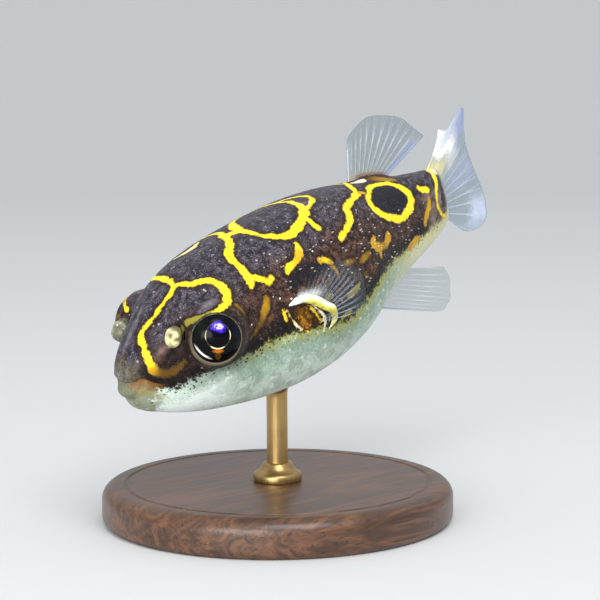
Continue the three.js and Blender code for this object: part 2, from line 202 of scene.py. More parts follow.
def storeValues(piece, name, values):
    layer = piece.data.attributes.new(name, "FLOAT", "POINT")
    layer.data.foreach_set("value", np.ascontiguousarray(values, dtype=np.float32))


def relax(points, edges, weights, rounds):  # draws each point towards the middle of its neighbours
    count = len(points)
    links = np.bincount(edges.ravel(), minlength=count).astype(float)
    for _ in range(rounds):
        means = np.empty_like(points)
        for k in range(3):
            sums = np.bincount(edges[:, 0], points[edges[:, 1], k], count)
            sums += np.bincount(edges[:, 1], points[edges[:, 0], k], count)
            means[:, k] = sums / np.maximum(links, 1)
        points = points + (means - points) * weights[:, None]
    return points


def mirrored(vectors, side):
    return vectors * np.array([1, -side, 1])


def unit(vectors):
    return vectors / np.linalg.norm(vectors, axis=-1, keepdims=True)


def roundAngle(right, rise):  # degrees from the back, positive on the left
    return np.degrees(np.arctan2(-right, rise))


def boxMiddle(node):
    low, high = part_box(node)
    return np.array((low + high) / 2)


# The skin: the flesh solids as one closed mesh, with a hollow for each eye
skinShape = {
    "grain": 0.24,  # size of the mesh's faces
    "swell": 0.2,  # the solids are swollen this far to close the cuts between them, then drawn back
    "smoothAll": (0.5, 6),  # how strongly it is smoothed, and how many times
    "smoothBody": (0.6, 26),
    "smoothLids": (0.3, 1),
    "lipsEnd": (2.5, 5.5),  # the second smoothing grows between these stations
    "eyeRadius": 3.8,
    "eyeRoom": 0.05,
    "eyeStation": 10.3,
    "eyeSunk": 0.45,
    "eyeReach": 6.5,  # nothing further from an eye's middle belongs to its lid
    "lidRadius": 4.0,
    "lidAngle": 51.5,  # the eye shows out to this angle from where it looks
    "lidEdge": (-7, 4),  # the lid rises between these angles past it
    "lidFade": (6, 30),  # and passes into the head between these
    "aim": {"left": (-0.487, 0.868, 0.1), "right": (-0.05, 0.99, 0.06)},  # ahead, out, up
    "nostril": (6.3, 3.55, 2.15),  # a ball under each nasal flap: station, out, up
    "nostrilRadius": 2.0,
    "stemEnd": 0.45,  # the tail stem's end is thinned by this share, into the fin
    "stemThinned": (57.5, 61.5),
}

fleshNodes = ["head", "trunk", "tail_stem", "upper_lip", "lower_lip"]
sides = {"left": -1, "right": 1}


def eyeAim(label):
    ahead, out, up = skinShape["aim"][label]
    return unit(along(skinShape["eyeStation"], ahead, sides[label] * out, up))


def fromEye(points, label):  # offset and distance from an eye's middle, and angle from where it looks
    offset = points - toFish(boxMiddle("eye_" + label))
    reach = np.linalg.norm(offset, axis=1)
    angle = np.degrees(np.arccos(np.clip(offset @ eyeAim(label) / np.maximum(reach, 1e-9), -1, 1)))
    return offset, reach, angle


def addBall(centre, radius):
    deselectAll()
    bpy.ops.mesh.primitive_ico_sphere_add(subdivisions=4, radius=radius * mm, location=centre)
    ball = bpy.context.object
    bpy.ops.object.transform_apply(location=True, rotation=True, scale=True)
    return ball


def makeSkin():
    pieces = []
    for name in fleshNodes:
        piece = copySolid(name, name + "_flesh")
        applyModifier(piece, "DISPLACE", strength=skinShape["swell"] * mm, mid_level=0)
        pieces.append(piece)
    station, out, rise = skinShape["nostril"]
    for label, side in sides.items():
        pieces.append(addBall(boxMiddle("eye_" + label), skinShape["eyeRadius"] + skinShape["eyeRoom"]))
        pieces.append(addBall(toWorld(place(station, side * out, rise)), skinShape["nostrilRadius"]))
    skin = joinPieces(pieces, "skin")
    applyModifier(skin, "REMESH", mode="VOXEL", voxel_size=skinShape["grain"] * mm, use_smooth_shade=True)
    return skin


def smoothed(points, edges, weights, kind):
    strength, rounds = skinShape[kind]
    return relax(points, edges, strength * weights, rounds)


def shapeSkin(skin):
    points = toFish(getPoints(skin))
    edges = getEdges(skin)
    normals = getNormals(skin)
    points -= normals * skinShape["swell"]
    everywhere = np.ones(len(points))
    behindLips = smoothStep(measure(points)[0], *skinShape["lipsEnd"])
    points = smoothed(points, edges, everywhere, "smoothAll")
    points = smoothed(points, edges, behindLips, "smoothBody")
    sunk = skinShape["eyeRadius"] - skinShape["eyeSunk"]
    for label in sides:
        offset, reach, angle = fromEye(points, label)
        pastLid = angle - skinShape["lidAngle"]
        wanted = sunk + (skinShape["lidRadius"] - sunk) * smoothStep(pastLid, *skinShape["lidEdge"])
        share = (1 - smoothStep(pastLid, *skinShape["lidFade"])) * (reach < skinShape["eyeReach"])
        points = points - offset + offset / reach[:, None] * (reach + (wanted - reach) * share)[:, None]
    points = smoothed(points, edges, everywhere, "smoothLids")
    station, right = measure(points)[:2]
    thinned = right * skinShape["stemEnd"] * smoothStep(station, *skinShape["stemThinned"])
    none = np.zeros(len(points))
    points -= along(station, none, thinned, none)
    setPoints(skin, toWorld(points))
    return skin


skin = shapeSkin(makeSkin())
skin.data.shade_smooth()
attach(skin, "root")
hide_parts(*fleshNodes)
print("skin", len(skin.data.vertices))

# The markings: each line is a list of (station, angle, half width in mm, tone).
# The angle runs from 0 on the back past 90 on the side to 180 on the belly, and is negative on the right.
# Tone -1.5 is a pinkish tan, -1 slate grey, -0.5 cream, 0 lemon, 0.5 old gold, 1 brown, 2 nearly black
# and 3 olive.

leftLines = {
    "noseLine": [(9.9, 14, 0.42, 0), (9.2, 17, 0.34, 0), (8, 18, 0.3, 0), (6.6, 18, 0.3, 0),
                 (5.5, 18, 0.33, 0), (4.5, 16, 0.4, 0), (3.7, 18, 0.43, 0), (3.1, 33, 0.44, 0.05),
                 (2.8, 52, 0.48, 0.08), (2.7, 66, 0.48, 0.15), (2.75, 77, 0.5, 0.45),
                 (3.2, 87, 0.48, 0.82), (3.9, 92.5, 0.48, 1.0), (4.8, 93, 0.46, 0.98),
                 (5.6, 88.5, 0.42, 0.98), (6.2, 84, 0.3, 1.05)],
    "browLoop": [(9.9, 14, 0.44, 0), (10.6, 20, 0.42, 0), (11.4, 26, 0.42, 0), (12.5, 30, 0.42, 0),
                 (13.1, 33, 0.46, 0), (13.6, 38, 0.52, 0), (13.8, 43, 0.58, 0), (13.6, 49, 0.6, 0.02),
                 (12.8, 53.5, 0.55, 0.05), (11.5, 56.5, 0.44, 0.08), (10.4, 57, 0.38, 0.12),
                 (9.6, 57, 0.34, 0.2)],
    "browOlive": [(9.5, 56, 0.36, 3), (8.6, 55.2, 0.42, 3), (7.9, 53, 0.46, 3), (7.5, 51, 0.46, 3),
                  (7.2, 49.8, 0.44, 3), (6.9, 49.5, 0.36, 3)],
    "topBranch": [(9.9, 14, 0.44, 0), (10.2, 5, 0.46, 0), (10.5, -6, 0.46, 0), (10.7, -17, 0.44, 0),
                  (11.4, -26, 0.42, 0), (12.5, -31, 0.44, 0), (13.3, -38, 0.52, 0),
                  (13.4, -45, 0.58, 0), (13, -52, 0.56, 0.05), (11.8, -57, 0.45, 0.15),
                  (10.2, -57, 0.36, 0.35), (9, -54.5, 0.34, 0.4), (8, -50, 0.34, 0.2),
                  (7.4, -48, 0.34, 0.2), (6.6, -46, 0.34, 0.35), (5.9, -42, 0.32, 0.5),
                  (5.3, -37, 0.22, 0.7)],
    "farCheek": [(2.9, -66, 0.4, 0.3), (2.9, -80, 0.48, 0.5), (3.6, -90, 0.48, 0.9),
                 (4.6, -91, 0.44, 1.0), (5.8, -87, 0.36, 1.0)],
    # The next line is a painted highlight: light along the far edge of the snout's ridge, in pale slate.
    "farPaintedRimLight": [(1.7, -8, 0.1, -1), (2.7, -7, 0.3, -1), (3.8, -6, 0.36, -1), (5, -6, 0.3, -1),
                 (6.4, -7, 0.1, -1)],
    "tanPatch": [(5.3, 53.5, 0.1, -1.5), (4.8, 55.5, 0.22, -1.5), (4.3, 57.5, 0.22, -1.5),
                 (3.7, 60.5, 0.1, -1.5)],
    # The next line is a painted highlight: a soft gloss of light along the brow ridge, in pale slate.
    "browPaintedGloss": [(9, 50, 0.2, -1), (9.9, 50, 0.5, -1), (10.7, 49, 0.7, -1), (11.4, 48.5, 0.5, -1)],
    "lidAmber": [(6.95, 60, 0.2, 0.9), (6.8, 67, 0.34, 0.84), (6.75, 75, 0.34, 0.84),
                 (7, 82, 0.24, 0.92)],
    "lidBrown": [(13.8, 59, 0.2, 0.75), (14.2, 64, 0.3, 0.85), (14.3, 70, 0.2, 0.95)],
    "ovalRing": [(24.9, -15, 0.4, 0), (23.7, -8, 0.66, 0), (22.6, 4, 0.66, 0), (22.5, 14, 0.5, 0),
                 (23.1, 25, 0.38, 0), (24.1, 30, 0.45, 0), (25.2, 34.5, 0.56, 0), (26.4, 35.5, 0.64, 0),
                 (27.9, 33, 0.68, 0), (29.6, 29, 0.72, 0), (31.2, 22, 0.7, 0), (32, 12, 0.55, 0),
                 (32.1, 2, 0.42, 0), (31.4, -8, 0.38, 0), (30, -16, 0.36, 0), (28, -20, 0.36, 0),
                 (26.2, -19, 0.34, 0), (24.9, -15, 0.4, 0)],
    "outerLoop": [(31.4, 22, 0.5, 0), (33, 19, 0.42, 0), (34.3, 14, 0.42, 0), (34.8, 7, 0.38, 0),
                  (34.5, 1, 0.32, 0), (33.5, -4, 0.32, 0), (32, -7, 0.36, 0)],
    "spur": [(29.9, 27, 0.5, 0), (30.05, 32, 0.42, 0), (30.1, 36, 0.46, 0), (30.3, 40.5, 0.5, 0.03)],
    "shoulderLine": [(19.4, -30, 0.4, 0.05), (20.4, -20, 0.36, 0), (21.2, -9, 0.4, 0),
                     (20.5, 3, 0.52, 0), (19.2, 15, 0.6, 0), (18, 21, 0.58, 0), (17.2, 27, 0.54, 0),
                     (17.1, 34, 0.48, 0), (17.2, 40, 0.5, 0), (17.2, 45, 0.62, 0), (17, 50, 0.46, 0.05),
                     (16.8, 53, 0.26, 0.15)],
    "shoulderLink": [(20.5, 1, 0.6, 0), (21.5, 5, 0.66, 0), (22.4, 8, 0.6, 0)],
    "lowPiece": [(17.3, 47, 0.4, 0.05), (18.1, 49.5, 0.4, 0.05), (18.7, 53, 0.42, 0.1),
                 (19.3, 56, 0.46, 0.15), (19.8, 54.5, 0.4, 0.15)],
    "loopFill": [(32.5, 8, 0.16, -1.5), (32.8, 12, 0.3, -1.5), (32.9, 16, 0.28, -1.5),
                 (32.6, 19, 0.14, -1.5)],
    "flankHook": [(25.7, 43, 0.4, 0.1), (25.5, 47, 0.5, 0.25), (24.9, 51, 0.5, 0.35),
                  (23.9, 53.5, 0.44, 0.3), (22.9, 54, 0.46, 0.1), (22.2, 56, 0.48, 0.1)],
    "zigzag": [(43.2, -3, 0.26, 0.1), (42.6, 4, 0.38, 0.03), (41.6, 15, 0.48, 0), (41, 24, 0.56, 0),
               (39.4, 29, 0.48, 0), (38.1, 32, 0.48, 0), (36.8, 35, 0.56, 0), (36.3, 41, 0.56, 0),
               (35.7, 46, 0.54, 0), (34.1, 51, 0.5, 0.02), (32.5, 54, 0.56, 0.03)],
    "ringLink": [(41.1, 22.5, 0.26, 0.4), (42.5, 26, 0.26, 0.4)],
    "ocellusRing": [(42.8, 28, 0.44, 0), (44.3, 21, 0.44, 0), (45.9, 18, 0.44, 0),
                    (48.1, 18.5, 0.44, 0), (49.5, 25, 0.6, 0), (50.4, 35, 0.74, 0), (50.4, 44, 0.76, 0),
                    (49.3, 54, 0.7, 0), (47.6, 61, 0.64, 0), (46.2, 61.5, 0.56, 0),
                    (43.9, 54.5, 0.52, 0), (42.4, 48, 0.56, 0), (41.7, 41, 0.6, 0), (41.9, 34, 0.57, 0),
                    (42.8, 28, 0.44, 0)],
    "ocellusTail": [(47.4, 61, 0.5, 0), (47.1, 67, 0.26, 0.05)],
    "finRootPale": [(43.4, 5, 0.3, -0.45), (44.4, 6, 0.5, -0.5), (45.5, 6, 0.44, -0.4)],
    "finRoot": [(46.3, 6, 0.36, 0.95), (47.4, 8, 0.52, 0.8), (48.8, 11, 0.56, 0.72),
                (50.2, 14, 0.34, 0.75)],
    "crabBlob": [(38.5, 66.5, 0.42, 0.5), (38, 70, 0.7, 0.42), (38.7, 75, 0.66, 0.5),
                 (39.5, 77.5, 0.5, 0.65), (40.6, 77.5, 0.46, 0.7), (41.6, 76, 0.66, 0.5),
                 (42.1, 72.5, 0.62, 0.5)],
    "crabFoot": [(39.2, 79, 0.48, 0.45), (38.8, 85.5, 0.3, 0.75)],
    "gillBlob": [(27.5, 60.5, 0.34, 0.4), (28.4, 62.5, 0.5, 0.25), (29, 66, 0.34, 0.5)],
    "gillDrop": [(28.9, 69, 0.22, 0.7), (29.4, 74, 0.28, 0.65), (29.4, 79, 0.2, 0.8)],
    "lowBlob": [(31, 72, 0.26, 0.9), (32, 72.5, 0.38, 0.8), (33.2, 74, 0.26, 0.95)],
    "lowBlobRear": [(34, 77, 0.28, 0.9), (35, 77, 0.42, 0.75), (36.4, 75, 0.36, 0.85)],
    "finSpot": [(34.4, 89, 0.26, 1.0), (35, 94, 0.3, 0.95)],
    "oliveSpot": [(30.4, 97, 0.36, 3), (31.5, 95.5, 0.44, 3), (32.6, 93.5, 0.3, 3)],
    "oliveLow": [(28.5, 110, 0.34, 3), (30, 109, 0.3, 3)],
    "rearBlob": [(46.8, 108, 0.4, 0.65), (48.3, 107, 0.55, 0.45), (49.6, 108.5, 0.4, 0.65)],
    "stemSpot": [(53.2, 33, 0.5, 0.08), (54, 37, 0.62, 0.05), (54.7, 40, 0.5, 0.08)],
    "stemLine": [(54.3, 50, 0.26, 0.55), (54.2, 58, 0.34, 0.5), (53.6, 70, 0.42, 0.4),
                 (52.7, 81, 0.44, 0.45), (51.9, 94, 0.38, 0.6)],
    "eyeStripe": [(17.9, 66, 0.42, 0.75), (17.4, 70, 0.5, 0.68), (16.9, 74.5, 0.42, 0.75),
                  (16.3, 79, 0.34, 0.9), (15.4, 83.5, 0.26, 1.0), (14.3, 87.5, 0.18, 1.1)],
    "tailLine": [(59.3, -1, 0.6, -0.12), (58.6, 12, 0.82, -0.15), (58.1, 22, 0.66, -0.1),
                 (57.3, 35, 0.46, 0), (56.5, 51, 0.34, 0.08), (56, 70, 0.3, 0.12),
                 (55.9, 86, 0.3, 0.15), (56.6, 112, 0.28, 0.2), (58, 134, 0.28, 0.2)],
    "tailMark": [(59.2, 28, 0.2, 2), (58.8, 38, 0.6, 2), (58.5, 52, 1.0, 2), (58.3, 68, 1.1, 2),
                 (58.2, 84, 1.0, 2), (58.3, 98, 0.6, 2), (58.4, 108, 0.2, 2)],
    "tailTop": [(58.6, -12, 0.3, -0.5), (59.4, 0, 0.7, -0.5), (59.6, 12, 0.5, -0.4)],
    "hollowRim": [(20.1, 80, 0.14, -0.2), (20.3, 85, 0.12, -0.1), (20.7, 91, 0.14, -0.1),
                  (21.1, 97, 0.16, -0.3), (21.7, 102, 0.14, -0.2), (22.4, 105, 0.1, 0.1)],
    "innerArc": [(23.9, 87, 0.08, -0.4), (24.5, 92, 0.13, -0.5), (25, 98, 0.14, -0.5),
                 (25.2, 105, 0.14, -0.4), (24.9, 111, 0.1, -0.3)],
    "innerLime": [(23.4, 86, 0.06, 0.1), (24, 92, 0.1, 0.1), (24.4, 98, 0.12, 0.1),
                  (24.5, 105, 0.1, 0.1)],
    "outerCream": [(24.9, 87, 0.06, -0.2), (25.6, 92, 0.09, -0.2), (26, 98, 0.1, -0.3),
                   (26, 105, 0.08, -0.2)],
    "limeSpot": [(19.6, 78, 0.28, 0.15), (19.55, 82.5, 0.4, 0.12), (19.6, 87.5, 0.3, 0.2)],
    "farStreak": [(14.6, -17, 0.3, -0.2), (15.8, -12, 0.5, -0.2), (17.2, -11, 0.52, -0.2),
                  (18.6, -15, 0.3, -0.1)],
}
# The right side repeats these, each moved back by so many millimetres
mirroredLines = {
    "lowPiece": 0.4, "flankHook": -0.3, "zigzag": -0.8, "ringLink": 0.2, "ocellusRing": 0.2,
    "ocellusTail": 0.2, "crabBlob": 0.5, "crabFoot": 0.5, "gillBlob": -0.4, "lowBlob": 0.3, "rearBlob": -0.3,
    "stemSpot": 0.2, "stemLine": -0.1, "eyeStripe": 0.2, "tailLine": 0, "spur": 0.4, "gillDrop": -0.5,
    "lowBlobRear": 0.4, "finSpot": 0.2, "oliveSpot": 0.2, "oliveLow": -0.3, "tailMark": 0, "hollowRim": 0,
    "innerArc": 0, "innerLime": 0, "outerCream": 0, "limeSpot": 0, "tanPatch": 0, "lidAmber": 0.2,
    "lidBrown": 0.2, "browPaintedGloss": 0,
}
# These run only over the right side
farLines = {
    "farShoulder": [(19.4, -30, 0.42, 0.05), (18.2, -37, 0.46, 0), (17.6, -44, 0.56, 0),
                    (17.4, -52, 0.4, 0.1)],
    "farFork": [(28.4, -20, 0.42, 0), (28.8, -28, 0.46, 0), (27.6, -36, 0.5, 0.05),
                (27.9, -43, 0.36, 0.15)],
}
# The belly's upper edge and the slit of the mouth, as stations and angles
bellyLine = [(-3, 100), (0, 100), (1.5, 101), (2, 106), (2.5, 114), (3.1, 122), (4.1, 122), (5.5, 120),
             (6.3, 115), (7.1, 110), (8, 106.5), (9.1, 101), (11, 99), (13.6, 101), (16.4, 100), (19.3, 100),
             (21.3, 103), (25, 109), (27, 113), (29.9, 116), (32.5, 113), (34.9, 110), (38, 104), (42, 102.5),
             (45.3, 107.5), (48.3, 112), (51, 116), (54, 122), (58, 128), (64, 130)]
mouthLine = [(-3, 140), (0, 135), (0.4, 120), (0.8, 103), (1.2, 94), (1.6, 95), (2, 101), (2.5, 109),
             (3.2, 114)]
hollowSpot = (22.9, 95)  # the gill opening's middle, as a station and an angle


def smoothCurve(points, steps=14):  # a curve through the points, with all their columns
    knots = np.array(points, float)
    closed = np.allclose(knots[0], knots[-1])
    if closed:
        knots = np.concatenate([knots[-2:-1], knots, knots[1:2]])
    else:
        knots = np.concatenate([[2 * knots[0] - knots[1]], knots, [2 * knots[-1] - knots[-2]]])
    share = np.linspace(0, 1, steps, endpoint=False)[:, None]
    spans = []
    for a, b, c, d in zip(knots, knots[1:], knots[2:], knots[3:]):
        spans.append(b + share * ((c - a) / 2 + share * (a - 2.5 * b + 2 * c - d / 2
                                                         + share * (1.5 * (b - c) + (d - a) / 2))))
    return np.concatenate(spans + [knots[-2:-1]])


def surfaceTree(piece):
    points = toFish(getPoints(piece))
    faces = [tuple(face.vertices) for face in piece.data.polygons]
    return BVHTree.FromPolygons([tuple(p) for p in points], faces)


def onSkin(station, angle):  # the skin's point at a station and angle
    turn = math.radians(angle)
    start = place(station, 0, body["beamRise"])
    beam = along(station, 0, -math.sin(turn), math.cos(turn))
    hit = skinTree.ray_cast(Vector(start), Vector(beam))[0]
    return None if hit is None else np.array(hit)


def gatherLines():
    lines = list(leftLines.values()) + list(farLines.values())
    for name, shift in mirroredLines.items():
        lines.append([(s + shift, -a, w, t) for s, a, w, t in leftLines[name]])
    spots = []
    for line in lines:
        for station, angle, width, tone in smoothCurve(line):
            hit = onSkin(station, angle)
            if hit is not None:
                spots.append((*hit, width, tone))
    return np.array(spots)


def nearest(spots, points):  # index of the nearest spot to each point, and how far off it is
    finder = KDTree(len(spots))
    for index, spot in enumerate(spots):
        finder.insert(spot[:3], index)
    finder.balance()
    found = [finder.find(p) for p in points]
    return np.array([f[1] for f in found]), np.array([f[2] for f in found])


def edgeDistance(line, station, angle, reach):  # how far below a line each point lies, along the skin
    limit = smoothCurve(line)
    return np.radians(np.abs(angle) - np.interp(station, limit[:, 0], limit[:, 1])) * reach


def markSkin(piece, points):
    station, right, rise = measure(points)
    angle = roundAngle(right, rise)
    reach = np.hypot(right, rise)
    index, far = nearest(lineSpots, points)
    storeValues(piece, "lineEdge", np.clip(far - lineSpots[index, 3], -1, 5))
    tone = lineSpots[index, 4]
    olive = tone > 2.5  # kept apart, so that no darker tone shows where olive meets lemon
    storeValues(piece, "lineTone", np.where(olive, 0.3, tone))
    storeValues(piece, "lineOlive", olive)
    storeValues(piece, "bellyEdge", edgeDistance(bellyLine, station, angle, reach))
    storeValues(piece, "mouthEdge", edgeDistance(mouthLine, station, angle, reach))
    storeValues(piece, "station", station)
    storeValues(piece, "flank", np.abs(angle))
    around = np.radians(np.abs(angle) - hollowSpot[1]) * reach
    storeValues(piece, "hollow", np.hypot(station - hollowSpot[0], around))
    lidEdge = np.full(len(points), 90.0)  # degrees past the nearer lid's edge
    for label in sides:
        away, turn = fromEye(points, label)[1:]
        turn = np.where(away < skinShape["eyeReach"], turn - skinShape["lidAngle"], 90)
        lidEdge = np.minimum(lidEdge, turn)
    storeValues(piece, "lidEdge", lidEdge)


skinTree = surfaceTree(skin)
lineSpots = gatherLines()
markSkin(skin, toFish(getPoints(skin)))
print("markings", len(lineSpots))

# The paints: each is a tree of nodes, and what follows adds to the one that was started last
painting = {}


def colour(red, green, blue):  # a paint colour, given as a screen shows it
    shares = [channel / 255 for channel in (red, green, blue)]
    return (*[s / 12.92 if s < 0.0404 else ((s + 0.055) / 1.055) ** 2.4 for s in shares], 1)


def startPaint(name):
    paint = bpy.data.materials.new(name)
    paint.use_nodes = True
    painting["tree"] = paint.node_tree
    return paint


def feed(socket, value):
    if isinstance(value, bpy.types.NodeSocket):
        painting["tree"].links.new(value, socket)
    else:
        socket.default_value = value


def addNode(kind, settings, sockets):
    node = painting["tree"].nodes.new("ShaderNode" + kind)
    for name, value in settings.items():
        setattr(node, name, value)
    for name, value in sockets.items():
        feed(node.inputs[name], value)
    return node


def finishPaint(paint, sockets, relief=None, depth=0.0):  # the shader's inputs, and a relief's depth in mm
    shader = paint.node_tree.nodes["Principled BSDF"]
    for name, value in sockets.items():
        feed(shader.inputs[name], value)
    if relief is not None:
        bump = addNode("Bump", {}, {"Height": relief, "Distance": depth * mm, "Strength": 1.0})
        feed(shader.inputs["Normal"], bump.outputs[0])
    return paint


def attribute(name):
    return addNode("Attribute", {"attribute_name": name}, {}).outputs["Fac"]


def objectPoint(scale=(1, 1, 1)):
    source = addNode("TexCoord", {}, {}).outputs["Object"]
    return addNode("Mapping", {}, {"Vector": source, "Scale": scale}).outputs[0]


def noise(point, size, detail=2.0, roughness=0.5, distortion=0.0):  # size is that of its spots, in mm
    sockets = {"Vector": point, "Scale": 1000 / size, "Detail": detail, "Roughness": roughness,
               "Distortion": distortion}
    return addNode("TexNoise", {}, sockets).outputs["Fac"]


def cells(point, size):
    return addNode("TexVoronoi", {}, {"Vector": point, "Scale": 1000 / size}).outputs["Distance"]


def calculate(operation, first, second=0.0):
    return addNode("Math", {"operation": operation}, {0: first, 1: second}).outputs[0]


def less(first, second):
    return calculate("SUBTRACT", first, second)


def band(value, low, high):  # 0 below low, 1 above high; the other way round when low is the greater
    if low > high:
        return less(1.0, band(value, high, low))
    sockets = {"Value": value, "From Min": low, "From Max": high}
    return addNode("MapRange", {"interpolation_type": "SMOOTHSTEP"}, sockets).outputs[0]


def spread(value, low, high):  # turns 0..1 into low..high
    return addNode("MapRange", {"clamp": False}, {"Value": value, "To Min": low, "To Max": high}).outputs[0]


def both(*values):
    result = values[0]
    for value in values[1:]:
        result = calculate("MULTIPLY", result, value)
    return result


def total(*values):
    result = values[0]
    for value in values[1:]:
        result = calculate("ADD", result, value)
    return result


def layer(base, paint, *shares):  # a paint over a base, as strong as the product of the shares
    first, second = [skinPaint[c] if isinstance(c, str) else c for c in (base, paint)]
    return addNode("Mix", {"data_type": "RGBA"}, {0: both(*shares), 6: first, 7: second}).outputs[2]


def coats(base, *steps):  # several layers over a base: a paint and its shares for each
    for paint, *shares in steps:
        base = layer(base, paint, *shares)
    return base


def fromOval(x, y, middle, halves):  # the square of how far a point is from an oval's middle: 1 on its edge
    dx = calculate("DIVIDE", less(x, middle[0]), halves[0])
    dy = calculate("DIVIDE", less(y, middle[1]), halves[1])
    return total(both(dx, dx), both(dy, dy))


skinPaint = {
    "lemon": (250, 230, 40), "gold": (196, 148, 28), "amberBrown": (92, 66, 20), "olive": (142, 132, 44),
    "cream": (236, 230, 204), "tailMark": (22, 21, 29), "slate": (56, 50, 60), "slateDeep": (30, 26, 33),
    "slateLight": (146, 140, 152), "brownHair": (124, 106, 96), "pinkTan": (150, 122, 112),
    "maroon": (76, 50, 41), "maroonDeep": (36, 24, 21), "rust": (140, 88, 36), "nearBlack": (10, 8, 7),
    "rim": (34, 22, 20), "fleck": (236, 228, 222), "ocellus": (26, 25, 33), "finShade": (20, 23, 31),
    "belly": (235, 251, 239), "throat": (248, 254, 252), "bellyGreen": (136, 160, 138),
    "bellyShade": (96, 112, 94), "bellyCream": (232, 226, 180), "stemTan": (152, 134, 122),
    "limeTint": (170, 164, 46), "socket": (24, 18, 16), "socketOlive": (62, 52, 30), "lid": (108, 98, 76),
    # The lips' and chin's colours below are darkened in part by painted shade, as under the snout.
    "lidShade": (24, 19, 14), "lidEdge": (132, 124, 116), "lipGrey": (104, 102, 96), "lipTan": (92, 80, 54),
    "lipBrown": (124, 80, 26), "lipYellow": (136, 126, 72), "lipOlive": (98, 102, 74),
    "lipTip": (134, 134, 126), "chin": (128, 134, 104), "chinDeep": (74, 82, 58),
    "finRoot": (176, 174, 156), "hollowGold": (186, 126, 26), "hollowBrown": (104, 62, 20),
    "hollowDark": (34, 22, 12),
}
skinPaint = {name: colour(*channels) for name, channels in skinPaint.items()}


def wavy(at, value, wide, small=0.0):  # a value made to wander by the noises
    value = total(value, spread(at.coarse, -wide, wide))
    return total(value, spread(at.fine, -small, small)) if small else value


def skinFields():  # what the skin's paint goes by at each point: its stored values and noises
    at = SimpleNamespace(point=objectPoint(), tone=attribute("lineTone"))
    for name in ("lineEdge", "bellyEdge", "mouthEdge", "station", "flank", "lidEdge", "hollow"):
        setattr(at, name, attribute(name))
    at.coarse = noise(at.point, 1.1, 2)
    at.fine = noise(at.point, 0.32, 2)
    at.broad = noise(at.point, 4.5, 3)
    at.mottle = noise(at.point, 0.8, 5, 0.62, 0.4)
    at.patches = noise(at.point, 1.7, 3, 0.6, 0.5)
    at.hairs = noise(objectPoint((0.6, 1, 0.9)), 0.34, 4, 0.7, 2.4)
    at.grains = cells(at.point, 0.34)
    at.under = wavy(at, at.bellyEdge, 0.9, 0.8)
    wander = total(spread(at.coarse, 0.42, -0.42), spread(at.fine, 0.24, -0.24))
    at.edge = total(at.lineEdge, both(wander, spread(band(at.tone, -0.1, -0.35), 1.0, 0.45)))
    return at


def paintBack(at):  # dark: slate above, maroon brown on the flank, nearly black along the belly's edge
    onFlank = band(total(at.flank, spread(at.broad, -20, 20)), 36, 62)
    rustShare = both(band(at.patches, 0.52, 0.68), band(at.mottle, 0.4, 0.6), 0.8)
    flankColour = coats("maroonDeep", ("maroon", band(at.mottle, 0.38, 0.62)), ("rust", rustShare))
    curls = calculate("FRACT", both(noise(objectPoint((0.7, 1, 1)), 1.5, 2, 0.5, 1.6), 11.0))
    curls = calculate("ABSOLUTE", less(curls, 0.5))
    brownish = calculate("MAXIMUM", onFlank, both(band(at.patches, 0.45, 0.6), 0.7))
    hairColour = layer("slateLight", "brownHair", brownish)
    return coats(
        "slateDeep",
        ("slate", band(at.mottle, 0.3, 0.66)),
        (flankColour, onFlank),
        ("rim", band(at.hairs, 0.47, 0.3), spread(onFlank, 0.5, 0.8)),
        (hairColour, band(curls, 0.19, 0.05), band(at.mottle, 0.4, 0.56), band(at.broad, 0.15, 0.5),
         spread(onFlank, 0.75, 0.55)),
        (hairColour, band(at.hairs, 0.62, 0.78), spread(onFlank, 0.25, 0.45)),
        ("fleck", band(cells(at.point, 1.05), 0.17, 0.11), band(at.patches, 0.42, 0.58),
         spread(onFlank, 0.4, 1.0)),
        ("rim", band(at.edge, 0.95, 0.05), 0.8),
        ("nearBlack", band(at.bellyEdge, -3.2, -0.6), 0.92))


def paintPlaces(at, base):  # the eyes' sockets, the cheek, the eyespot, behind the fin, and the tail's root
    socketShade = layer("socket", "socketOlive", band(at.flank, 62, 70), band(at.station, 9.5, 8))
    cheek = fromOval(wavy(at, at.station, 0.6), at.flank, (6, 77), (2.3, 16))
    eyespot = fromOval(at.station, at.flank, (46.1, 40), (3.9, 20))
    eyespotTone = layer("ocellus", "slateDeep", band(at.mottle, 0.35, 0.75))
    finShade = fromOval(wavy(at, at.station, 0.8), at.flank, (24.8, 66.5), (4.1, 7.6))
    rootTone = layer("stemTan", "finRoot", band(at.mottle, 0.4, 0.6))
    return coats(
        base,
        # Painted shade in the hollow round each eye, olive towards its front and lower side.
        (socketShade, band(at.lidEdge, 24, 8), spread(at.coarse, 0.6, 1.1), 0.85),
        ("nearBlack", band(cheek, 1.2, 0.4), 0.72),
        (eyespotTone, band(eyespot, 1.15, 0.75)),
        ("finShade", band(finShade, 1.2, 0.4), 0.85),
        ("stemTan", band(at.station, 51.5, 54.5), band(at.flank, 36, 58), band(at.patches, 0.3, 0.6), 0.75),
        (rootTone, band(wavy(at, at.station, 0.9, 0.4), 59.4, 60.4)))


